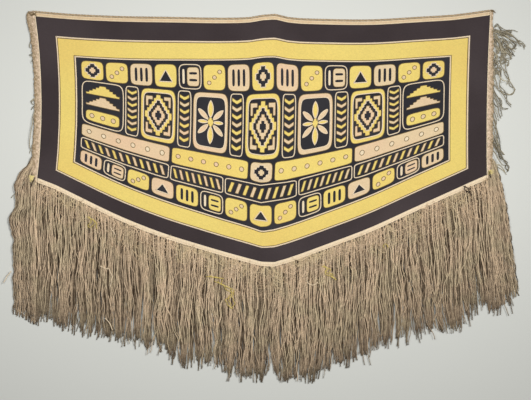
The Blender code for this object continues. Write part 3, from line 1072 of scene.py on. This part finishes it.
# Strands that lie across the others
stray = {
    "count": 150,
    "inset": 0.03,
    "below": (0.01, 0.25),  # how far under the hem they start
    "length": (0.10, 0.30),
    "foot": 0.02,  # how far above the fringe's foot they end at the latest
    "stations": 24,
    "lean": 0.16,
    "wave": 0.0035,
    "waveLength": 0.08,
    "hook": 0.012,
    "height": 0.0098,
    "arch": 0.0012,
    "sink": 0.0025,
    "radius": (0.0014, 0.0020),
    "taper": 0.25,
    "tone": (0.70, 0.20),
}


def strayStrands(rng, low, high):
    paths, radii, tones = [], [], []
    for number in range(stray["count"] // 4):
        x0 = rng.uniform(low + stray["inset"], high - stray["inset"])
        top = float(hemY(x0)) - rng.uniform(*stray["below"])
        foot = float(np.interp(x0, floorAt, floorEnds)) + stray["foot"]
        length = min(rng.uniform(*stray["length"]), top - foot)
        t = np.linspace(0, 1, stray["stations"])
        lean = rng.normal(0, stray["lean"]) * length
        wave = stray["wave"] * np.sin(math.tau * (t * length / stray["waveLength"] + rng.random()))
        x = x0 + lean * t + wave + rng.normal(0, stray["hook"]) * t**2
        z = stray["height"] + stray["arch"] * np.sin(math.pi * t) - stray["sink"] * t**4
        paths.append(np.column_stack([x, top - length * t, z]))
        radii.append(rng.uniform(*stray["radius"]) * (1 - stray["taper"] * t))
        tones.append(toneNear(rng, *stray["tone"]))
    return paths, radii, tones


def makeHemFringe():
    rng = np.random.default_rng(fringe["seed"])
    pieces = []
    for part in range(1, 5):
        low, high = (corner[0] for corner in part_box("hem_fringe_%d" % part))
        low = max(low, leftEdge[0, 0] - 0.02) + 0.003
        high = high - 0.003
        strands = fringeStrands(rng, low, high)
        strays = strayStrands(rng, low, high)
        paths, radii, tones = (a + b for a, b in zip(strands, strays))
        wool = yarnMaterials["fringeWool"]
        pieces.append(makeYarns("hemFringe%d" % part, paths, radii, radii, fringe["sides"], wool, tones))
    return pieces


hemFringe = makeHemFringe()
hemFluff = makeFluff()
print("hem fringe hung")


# The plait down each side, and the strands that hang out of it

plait = {
    # down from the cloth's top corner, and the plait's width there
    "left": (
        (0.0, 0.026), (0.012, 0.034), (0.040, 0.032), (0.085, 0.0275), (0.200, 0.025), (0.450, 0.0275),
        (0.611, 0.030),
    ),
    "right": (
        (0.0, 0.006), (0.020, 0.008), (0.050, 0.010), (0.062, 0.016), (0.180, 0.020), (0.320, 0.0245),
        (0.605, 0.022),
    ),
    "top": -0.004,
    "plies": 9,
    "ply": 0.0026,
    "pitch": 0.034,
    "stations": 16,
    "flat": 0.62,
    "rise": 0.0008,
    "tone": 0.38,
    "toneFall": 0.24,  # from the middle out, since the outer side is the darker one
    "toneScatter": 0.1,
    "seam": 0.0004,
    "stray": 0.0006,
    "level": 0.0044,
    "pressed": 0.8,  # the share of a ply's half width by which it stands off the edges
    "least": 0.0006,
    "edgeCord": 0.0017,
    "edgeLevel": 0.0046,
    "edgeWave": (0.0003, 700),
}
sideEdges = {"left": leftEdge, "right": rightEdge}
sideSigns = {"left": -1, "right": 1}


def plaitWide(side, drop):
    table = np.array(plait[side])
    return np.interp(drop, table[:, 0], table[:, 1])


def sidePlace(side, out, drop):
    # out from the cloth's edge, and down from its top corner
    edge = sideEdges[side]
    y = edge[-1, 1] - np.asarray(drop, float)
    return np.interp(y, edge[:, 1], edge[:, 0]) + sideSigns[side] * np.asarray(out, float), y


def sideHeight(side):
    return sideEdges[side][-1, 1] - sideEdges[side][0, 1]


def sidePlait(side, rng):
    # strands that cross from edge to edge and back, over and under each other
    height = sideHeight(side)
    inner = plait["seam"] + 2 * plait["edgeCord"]
    drop = np.linspace(plait["top"], height - 0.002, int(height / plait["pitch"] * plait["stations"]))
    inset = plait["ply"] * plait["pressed"]
    reach = np.maximum((plaitWide(side, drop) - inner) / 2 - inset, plait["least"])
    plies, tones = [], []
    for k in range(plait["plies"]):
        turn = drop / plait["pitch"] * math.tau + k * math.tau / plait["plies"]
        drift = wander(rng, len(drop), plait["stray"], height)
        x, y = sidePlace(side, inner + inset + reach * (1 + np.sin(turn)) + drift, drop)
        z = plait["level"] + plait["rise"] * np.sin((plait["plies"] - 1) * turn)
        plies.append(np.column_stack([x, y, z]))
        tone = plait["tone"] - plait["toneFall"] * np.sin(turn)
        tones.append(tone + rng.uniform(-plait["toneScatter"], plait["toneScatter"]))
    return plies, tones


def sideCord(side):
    # the pale cord between the plait and the cloth
    drop = np.linspace(plait["top"], sideHeight(side) - 0.002, 300)
    size, pace = plait["edgeWave"]
    out = plait["seam"] + plait["edgeCord"] + size * np.sin(drop * pace)
    x, y = sidePlace(side, out, drop)
    return [np.column_stack([x, y, np.full(len(drop), plait["edgeLevel"])])]


def smoothLine(points, count):
    # a smooth line through a few places
    points = np.asarray(points, float)
    length = lengthsAlong(points)
    slopes = np.gradient(points, length, axis=0)
    at = np.linspace(0, length[-1], count)
    i = np.clip(np.searchsorted(length, at, "right") - 1, 0, len(points) - 2)
    span = (length[i + 1] - length[i])[:, None]
    t = ((at - length[i])[:, None]) / span
    return (
        (1 + 2 * t) * (1 - t) ** 2 * points[i] + t * (1 - t) ** 2 * span * slopes[i]
        + t * t * (3 - 2 * t) * points[i + 1] - t * t * (1 - t) * span * slopes[i + 1]
    )


# Loose strands of the sides: places in millimetres, out from the cloth's edge and down from its corner

looseStrands = {
    "left": (
        ((24, 98), (31, 107), (35, 121), (29, 128), (25, 124)),
        ((24, 143), (30, 148), (41, 153)),
        ((24, 146), (31, 156), (36, 150)),
        ((24, 168), (28, 174), (27, 182)),
        ((24, 308), (35, 313), (43, 321)),
        ((24, 311), (33, 322), (31, 331)),
        ((24, 332), (30, 339), (35, 349)),
        ((24, 350), (28, 378), (34, 412), (38, 462), (35, 496), (29, 504)),
        ((30, 480), (35, 492), (36, 505), (33, 508)),
        ((24, 506), (30, 524), (36, 541), (37, 562)),
        ((24, 520), (33, 540), (38, 556), (36, 574)),
        ((24, 590), (45, 611), (71, 644), (84, 655), (92, 668)),
    ),
    "right": (
        ((19, 57), (31, 52), (49, 62), (62, 66), (80, 68), (82, 73), (76, 76)),
        ((18, 62), (38, 70), (62, 72), (84, 68), (103, 73)),
        ((19, 66), (35, 72), (63, 76), (84, 84), (99, 103), (113, 112), (127, 115), (133, 129)),
        ((18, 68), (40, 74), (70, 84), (94, 98), (106, 114), (117, 126), (112, 118)),
        ((18, 72), (41, 82), (60, 87), (80, 97), (95, 109), (97, 121), (90, 129), (98, 134)),
        ((19, 76), (44, 79), (66, 92), (82, 104), (76, 120), (88, 138), (96, 146)),
        ((19, 82), (36, 100), (58, 108), (72, 128), (64, 146), (78, 158), (84, 168)),
        ((20, 92), (40, 112), (46, 132), (64, 150), (80, 150), (86, 162), (78, 170)),
        ((20, 98), (30, 124), (50, 138), (52, 160), (66, 176), (60, 186), (70, 180)),
        ((21, 120), (34, 136), (30, 156), (42, 168), (40, 180), (28, 176), (30, 162)),
        ((21, 150), (31, 166), (27, 182), (36, 192), (44, 186), (42, 176)),
        ((21, 178), (33, 192), (28, 210), (36, 222), (47, 216), (48, 204), (40, 200)),
        ((21, 190), (25, 222), (26, 256), (40, 282), (60, 294), (84, 296), (97, 284),
         (86, 262), (69, 234), (57, 208), (47, 186), (50, 164)),
        ((52, 150), (60, 176), (66, 204), (74, 232), (80, 246)),
        ((22, 200), (43, 228), (48, 246), (44, 267), (54, 289), (65, 304), (77, 324), (87, 336)),
        ((40, 214), (50, 240), (60, 249), (73, 252), (70, 262)),
        ((21, 262), (24, 284), (33, 299), (48, 320), (58, 344), (76, 348)),
        ((21, 280), (34, 306), (46, 334), (52, 358), (57, 378)),
        ((21, 300), (27, 330), (37, 346), (41, 366), (52, 380)),
        ((21, 318), (30, 352), (38, 374), (48, 393)),
        ((21, 340), (24, 374), (32, 404), (36, 420)),
        ((21, 372), (30, 402), (38, 432), (45, 456)),
        ((21, 398), (34, 432), (47, 468), (56, 508)),
        ((21, 412), (30, 446), (42, 480), (52, 504)),
        ((21, 436), (34, 470), (48, 498), (60, 516)),
        ((21, 456), (38, 492), (54, 518), (68, 542), (80, 560), (78, 576)),
        ((21, 470), (36, 500), (56, 524), (70, 548), (77, 566), (74, 578)),
        ((21, 498), (34, 514), (44, 534), (58, 552), (66, 557)),
        ((21, 530), (34, 548), (48, 556), (60, 570), (68, 582)),
        ((24, 536), (35, 562), (45, 604), (51, 650), (54, 682), (61, 690)),
        # the tangle at the top
        ((9, 67), (29, 75), (49, 81), (68, 79), (82, 84)),
        ((16, 79), (33, 85), (53, 88), (73, 98), (90, 108), (101, 110), (115, 116), (124, 118), (132, 131)),
        ((50, 104), (57, 116), (67, 122), (66, 132), (57, 135), (49, 128), (52, 118), (60, 117)),
        ((73, 98), (90, 108), (99, 124), (90, 135), (78, 134), (74, 124)),
        ((56, 122), (70, 128), (88, 145), (90, 153)),
        ((54, 130), (66, 140), (80, 159), (85, 168), (82, 176), (76, 172)),
        ((50, 138), (60, 150), (60, 168), (66, 180), (76, 188), (72, 194), (63, 192)),
        ((16, 88), (28, 98), (36, 112), (40, 130), (46, 142)),
        ((24, 82), (36, 100), (46, 114), (44, 132), (38, 140)),
        ((30, 84), (46, 92), (56, 106), (70, 112), (84, 118), (92, 130), (86, 138)),
        ((19, 100), (28, 112), (24, 122), (16, 116), (22, 106), (34, 110)),
        ((20, 112), (36, 128), (44, 142), (52, 150), (60, 146)),
        ((22, 126), (38, 142), (34, 152), (26, 146), (30, 136), (44, 138)),
        ((40, 120), (48, 140), (58, 148), (66, 146), (70, 136)),
        ((46, 126), (64, 150), (60, 162), (50, 158), (46, 148)),
        ((19, 144), (30, 154), (35, 163), (28, 170), (20, 163), (27, 153)),
        ((20, 172), (30, 180), (33, 190), (25, 197), (20, 188), (26, 180)),
        ((20, 200), (30, 209), (34, 219), (26, 226), (21, 216), (27, 208)),
        ((34, 200), (47, 212), (48, 226), (39, 230), (35, 218), (42, 210)),
    ),
}
sideStrand = {
    "radius": 0.0018,
    "thick": (0.85, 1.1),
    "stray": 0.00072,
    "step": 0.007,
    "copies": {"left": 1, "right": 2},  # of every other strand
    "scatter": (0.0016, 0.003),  # of a strand's places, and how much more a copy's
    "rootRise": 0.0026,
    "layerRise": 0.0022,
    "tone": (0.34, 0.20),
}

# The strands below each tie, which hang beside the hem fringe
bundle = {
    # how far down from the corner, and how far out the outermost strand lies there
    "left": (
        (0.520, 0.028), (0.550, 0.037), (0.568, 0.060), (0.595, 0.073), (0.617, 0.078), (0.642, 0.075),
        (0.695, 0.074), (0.717, 0.089), (0.752, 0.098), (0.786, 0.090), (0.818, 0.083), (1.100, 0.083),
    ),
    "right": (
        (0.530, 0.025), (0.570, 0.036), (0.606, 0.047), (0.642, 0.056), (0.678, 0.064), (0.714, 0.071),
        (0.750, 0.076), (0.786, 0.082), (0.822, 0.087), (0.868, 0.093), (0.896, 0.099), (0.954, 0.105),
        (0.990, 0.113), (1.060, 0.117),
    ),
    "ends": {"left": (1.085, 1.125), "right": (1.020, 1.095)},  # of the outermost and the innermost
    "count": 73,
    "skip": 29,  # places from one strand to the next one laid
    "stations": 40,
    "radius": (0.0015, 0.0022),
    "layers": 4,
    "level": 0.0005,
    "inner": 0.004,
    "rootsUp": 1.6,  # how much closer the roots lie at the foot of the plait
    "stray": 0.0016,
    "ragged": 0.045,
    # painted shade: each layer down is darker, as the shade under the strands above it
    "tones": (0.08, 0.16, 0.14, 0.18),  # the lowest one, more a layer, more outwards, and the scatter
}


def wander(rng, count, size, reach):
    # a smooth random drift along a strand
    at = np.linspace(0, reach, count)
    drift = np.zeros(count)
    for wave in (0.11, 0.055, 0.027):
        drift += np.sin(math.tau * (at / wave + rng.random())) * rng.normal(0, size) * wave / 0.055
    return drift


def stationsOf(line, step):
    # how long a line is, and how many places a step apart it takes
    reach = np.linalg.norm(np.diff(line, axis=0), axis=1).sum()
    return reach, max(int(reach / step), 6)


def looseSide(side, rng):
    look = sideStrand
    scatter, copyScatter = look["scatter"]
    paths, radii, tones = [], [], []
    for number, row in enumerate(looseStrands[side]):
        for copy in range(look["copies"][side] if number % 2 == 0 else 1):
            line = np.array(row, float) / 1000
            line[1:] += rng.normal(0, scatter + copyScatter * copy, (len(row) - 1, 2))
            reach, count = stationsOf(line, look["step"])
            line = smoothLine(line, count)
            t = np.linspace(0, 1, count)
            line[:, 0] += wander(rng, count, look["stray"], reach) * t
            x, y = sidePlace(side, line[:, 0], line[:, 1])
            radius = look["radius"] * rng.uniform(*look["thick"])
            arch = look["layerRise"] * (number % 4) * np.sin(math.pi * t)
            z = radius + look["rootRise"] * (1 - t) ** 2 + arch
            paths.append(np.column_stack([x, y, z]))
            radii.append(radius * (1 - 0.3 * t**2))
            tones.append(toneNear(rng, *look["tone"]))
    return paths, radii, tones


def bundleStrands(side, rng):
    paths, radii, tones = [], [], []
    height = sideHeight(side)
    table = np.array(bundle[side])
    outerEnd, innerEnd = bundle["ends"][side]
    inner = bundle["inner"]
    lowest, layerShadeStep, outer, scatter = bundle["tones"]
    for number in range(bundle["count"]):
        # 0 under the plait, 1 outermost
        share = (number * bundle["skip"] % bundle["count"] + rng.random()) / bundle["count"]
        start = table[0, 0] + (height - table[0, 0]) * (1 - share) ** bundle["rootsUp"]
        end = innerEnd + (outerEnd - innerEnd) * share - bundle["ragged"] * rng.random() ** 2
        t = np.linspace(0, 1, bundle["stations"])
        drop = start + (end - start) * t
        out = inner + (np.interp(drop, table[:, 0], table[:, 1]) - inner) * share
        out += wander(rng, len(t), bundle["stray"], end - start) * np.minimum(t * 8, 1)
        x, y = sidePlace(side, np.maximum(out, 0.001), drop)
        radius = rng.uniform(*bundle["radius"])
        layer = number % bundle["layers"]
        z = radius + sunk(bundle["level"] + layer * fringe["layerRise"], t)
        paths.append(np.column_stack([x, y, z]))
        radii.append(tapered(radius, t))
        # painted shade: the lower layers are darker
        tones.append(toneNear(rng, lowest + layerShadeStep * layer + outer * share, scatter))
    return paths, radii, tones


sideSeeds = {"left": 31, "right": 32}


def makeSides():
    pieces = {}
    ply, cord = plait["ply"], plait["edgeCord"]
    for side, seed in sideSeeds.items():
        rng = np.random.default_rng(seed)
        name = side.title()
        plies, tones = sidePlait(side, rng)
        wool, cream = yarnMaterials["sideWool"], yarnMaterials["creamBraid"]
        pieces[side] = [
            makeYarns("sidePlait" + name, plies, ply, ply * plait["flat"], 8, wool, tones),
            makeYarns("sideCord" + name, sideCord(side), cord, cord, 6, cream, [0.7]),
        ]
        for kind, maker, material in (
            ("looseStrands", looseSide, yarnMaterials["looseWool"]),
            ("tiedStrands", bundleStrands, yarnMaterials["fringeWool"]),
        ):
            paths, radii, tones = maker(side, rng)
            pieces[side].append(makeYarns(kind + name, paths, radii, radii, 5, material, tones))
    return pieces


sidePieces = makeSides()
print("sides plaited")


# The yellow yarn that binds each plait at its foot

tie = {
    "turns": 5,
    "yarn": 0.0017,
    "stations": 20,
    "half": 0.0105,  # half the width of the winding
    "outwards": 0.006,
    "level": 0.0056,
    "deep": 0.0040,
    "slant": 0.22,  # rise of a turn towards the outside
    "tails": ((0.004, 0.009), (-0.003, 0.007)),
    "tailFrom": 0.003,
    "tailLevels": (0.0090, 0.0080),
    "tones": (0.6, 0.5, 0.7),
    # the dark thong beside each tie, in metres towards the cloth and down from the tie's middle
    "thong": {
        "left": ((0.014, -0.002), (0.010, 0.009), (0.004, 0.019), (0.001, 0.032)),
        "right": ((0.008, -0.002), (0.007, 0.006), (0.005, 0.014), (0.004, 0.022)),
    },
    "thongWide": 0.0019,
    "thongLevel": 0.0124,
}


def makeTies():
    pieces = {}
    for side in ("left", "right"):
        way = sideSigns[side]
        low, high = (np.array(corner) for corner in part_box("corner_tie_" + side))
        middle, half = (low + high) / 2, (high - low) / 2
        middle[0] += way * tie["outwards"]
        turn = np.linspace(0, tie["turns"] * math.tau, tie["turns"] * tie["stations"])
        x = tie["half"] * np.cos(turn)
        y = high[1] - tie["yarn"] - (2 * half[1] - 2 * tie["yarn"]) * turn / turn[-1]
        z = tie["level"] + tie["deep"] * np.sin(turn)
        paths = [np.column_stack([middle[0] + x, y + way * tie["slant"] * x, z])]
        for out, down in tie["tails"]:
            start = np.array([middle[0] + out, low[1] + tie["tailFrom"]])
            line = smoothLine([start, start + (0.002, -down * 0.5), start + (-0.002, -down)], 10)
            paths.append(np.column_stack([line, np.linspace(*tie["tailLevels"], 10)]))
        line = smoothLine(tie["thong"][side], 16)
        level = np.full(len(line), tie["thongLevel"])
        thong = np.column_stack([middle[0] - way * line[:, 0], middle[1] - line[:, 1], level])
        name = side.title()
        yarn, wide = tie["yarn"], tie["thongWide"]
        wool, leather = yarnMaterials["tieWool"], yarnMaterials["darkThong"]
        pieces[side] = [
            makeYarns("tieYarn" + name, paths, yarn, yarn * 0.85, 7, wool, tie["tones"]),
            makeYarns("tieThong" + name, [thong], wide, wide * 0.6, 7, leather, [0.4]),
        ]
    return pieces


tiePieces = makeTies()
print("ties wound")


# Bits of yarn that lie on the fringe: millimetres across from the heading's middle and down from it

yarnBits = {
    "yellow": (
        ((-202, 924), (-187, 927), (-173, 932)),
        ((-158, 937), (-137, 959), (-119, 984), (-130, 1005), (-112, 1020), (-108, 1038)),
        ((214, 883), (227, 894), (220, 908), (238, 919), (259, 934)),
        ((-626, 710), (-612, 725), (-619, 739), (-608, 750)),
        ((434, 806), (441, 811), (447, 819)),
    ),
    "pale": (
        ((155, 926), (158, 948), (176, 955), (194, 944)),
        ((-554, 746), (-541, 757), (-529, 775)),
        ((-590, 887), (-572, 895), (-554, 898), (-549, 928), (-551, 962)),
        ((-569, 1074), (-555, 1095), (-542, 1117)),
        ((-936, 946), (-922, 924), (-908, 904)),
    ),
    "dark": (
        ((716, 599), (727, 606), (731, 616), (742, 631)),
        ((728, 598), (726, 612), (735, 626)),
    ),
    # the frayed ends of the heading cord at the top corners
    "brown": (
        ((814, -31), (824, -33), (834, -28)),
        ((816, -28), (827, -28), (833, -23)),
        ((-839, -21), (-832, -27), (-826, -14)),
        ((-836, -13), (-830, -18), (-827, -25)),
        ((-842, -16), (-834, -20), (-824, -19)),
    ),
    "looks": {
        # wool, radius, tone, how many strands lie in each bit, and how high
        "yellow": ("tieWool", 0.0013, 0.15, 3, 0.0122),
        "pale": ("creamBraid", 0.0016, 0.5, 1, 0.0122),
        "dark": ("darkThong", 0.0014, 0.4, 1, 0.0122),
        "brown": ("darkBraid", 0.0013, 0.3, 1, 0.0075),
    },
    "seed": 47,
    "step": 0.003,
    "curl": 0.0020,
    "apart": 0.0024,
    "arch": 0.0006,
}


def makeYarnBits():
    rng = np.random.default_rng(yarnBits["seed"])
    low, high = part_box("twined_cloth")
    middle = np.array([low[0] + layout["left"], high[1] - layout["down"]])
    pieces = []
    for kind, (wool, radius, tone, strands, height) in yarnBits["looks"].items():
        paths = []
        for row in yarnBits[kind] * strands:
            line = np.array(row, float) / 1000
            reach, count = stationsOf(line, yarnBits["step"])
            line = smoothLine(line, count) * (1, -1) + middle
            line += rng.normal(0, yarnBits["apart"] * (strands > 1), 2)
            line[:, 0] += wander(rng, count, yarnBits["curl"] * strands, reach)
            arch = yarnBits["arch"] * np.sin(math.pi * np.linspace(0, 1, count))
            paths.append(np.column_stack([line, height + arch]))
        tones = [tone] * len(paths)
        pieces.append(makeYarns(kind + "YarnBits", paths, radius, radius, 6, yarnMaterials[wool], tones))
    return pieces


yarnBitPieces = makeYarnBits()
print("yarn bits strewn")


# The surface, the light and the camera

stage = {
    "floor": dye(207, 208, 202),
    "size": 40.0,
    "level": -0.0004,
    "mottle": 0.02,
    "world": 0.11,
    "softbox": {"place": (0.0, 0.26, 1.60), "wide": 2.6, "deep": 0.3, "power": 29.5},
    "sideLight": {"from": (0.85, 0.50, 1.0), "strength": 1.45, "spread": 9.0},  # spread in degrees
}


def makeFloor():
    shape = bmesh.new()
    bmesh.ops.create_grid(shape, x_segments=2, y_segments=2, size=stage["size"] / 2)
    mesh = bpy.data.meshes.new("paleFloor")
    shape.to_mesh(mesh)
    shape.free()
    material, skin, wire = woolMaterial("palePaper", 0.95, 0.0)
    spot = wire.node("ShaderNodeTexCoord", None, None, "Object")
    cloud = wire.noise(spot, 2.0, 3.0)
    grain = wire.noise(spot, 400.0, 2.0)
    tint = 1 + (cloud - 0.5) * stage["mottle"] + (grain - 0.5) * stage["mottle"]
    paper = {0: stage["floor"][:3], "Scale": tint}
    colour = wire.node("ShaderNodeVectorMath", {"operation": "SCALE"}, paper)
    mesh.materials.append(finish(material, skin, colour, grain, 0.0001))
    floor = bpy.data.objects.new("paleFloor", mesh)
    floor.location.z = stage["level"]
    bpy.context.scene.collection.objects.link(floor)


def makeLights():
    softbox, sideLight = stage["softbox"], stage["sideLight"]
    lamp = bpy.data.lights.new("softbox", "AREA")
    lamp.shape = "RECTANGLE"
    lamp.size = softbox["wide"]
    lamp.size_y = softbox["deep"]
    lamp.energy = softbox["power"]
    overhead = bpy.data.objects.new("softbox", lamp)
    overhead.location = softbox["place"]
    sun = bpy.data.lights.new("sideLight", "SUN")
    sun.energy = sideLight["strength"]
    sun.angle = math.radians(sideLight["spread"])
    beam = bpy.data.objects.new("sideLight", sun)
    beam.rotation_euler = (-Vector(sideLight["from"])).to_track_quat("-Z", "Y").to_euler()
    for holder in (overhead, beam):
        bpy.context.scene.collection.objects.link(holder)
    world = bpy.data.worlds.new("studio")
    world.use_nodes = True
    ground = world.node_tree.nodes["Background"]
    ground.inputs["Color"].default_value = (1.0, 0.99, 0.97, 1)
    ground.inputs["Strength"].default_value = stage["world"]
    bpy.context.scene.world = world


photo = {"wide": 531, "high": 400, "scale": 0.0036, "middle": (264, 19.67), "lens": 90, "film": 36}


def makeCamera():
    # straight above, at the height where the photo's width spans its real width
    data = bpy.data.cameras.new("photoView")
    data.lens = photo["lens"]
    data.sensor_width = photo["film"]
    data.clip_end = 50
    camera = bpy.data.objects.new("photoView", data)
    low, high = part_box("twined_cloth")
    x = low[0] + layout["left"] + (photo["wide"] / 2 - photo["middle"][0]) * photo["scale"]
    y = high[1] - layout["down"] + (photo["middle"][1] - photo["high"] / 2) * photo["scale"]
    distance = photo["wide"] * photo["scale"] * photo["lens"] / photo["film"]
    camera.location = (x, y, distance + lie["top"])
    bpy.context.scene.collection.objects.link(camera)
    bpy.context.scene.camera = camera
    bpy.context.scene.view_settings.view_transform = "Standard"


makeFloor()
makeLights()
makeCamera()
print("stage set")


# What moves with what, and which solids each piece hides

def fit(piece, slot, *nodes):
    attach(piece, "root")
    if nodes:
        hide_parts(*nodes)


fit(wovenCloth, "twined_cloth", "twined_cloth")
for piece in clothBraids + twinedRowPieces:
    fit(piece, "twined_cloth")
fit(headingCordPiece, "heading_cord", "heading_cord")
for number, piece in enumerate(hemFringe, 1):
    fit(piece, "warp_fringe", "hem_fringe_%d" % number)
fit(hemFluff, "warp_fringe")
for side in ("left", "right"):
    for piece in sidePieces[side]:
        fit(piece, "side_braid", "side_fringe_" + side)
    for piece in tiePieces[side]:
        fit(piece, "tie_yarn", "corner_tie_" + side)
for piece in yarnBitPieces:
    fit(piece, "tie_yarn")

onTheCloth = clothBraids + twinedRowPieces + [headingCordPiece] + hemFringe + [hemFluff]
onTheCloth += sidePieces["left"] + sidePieces["right"] + tiePieces["left"] + tiePieces["right"]
onTheCloth += yarnBitPieces
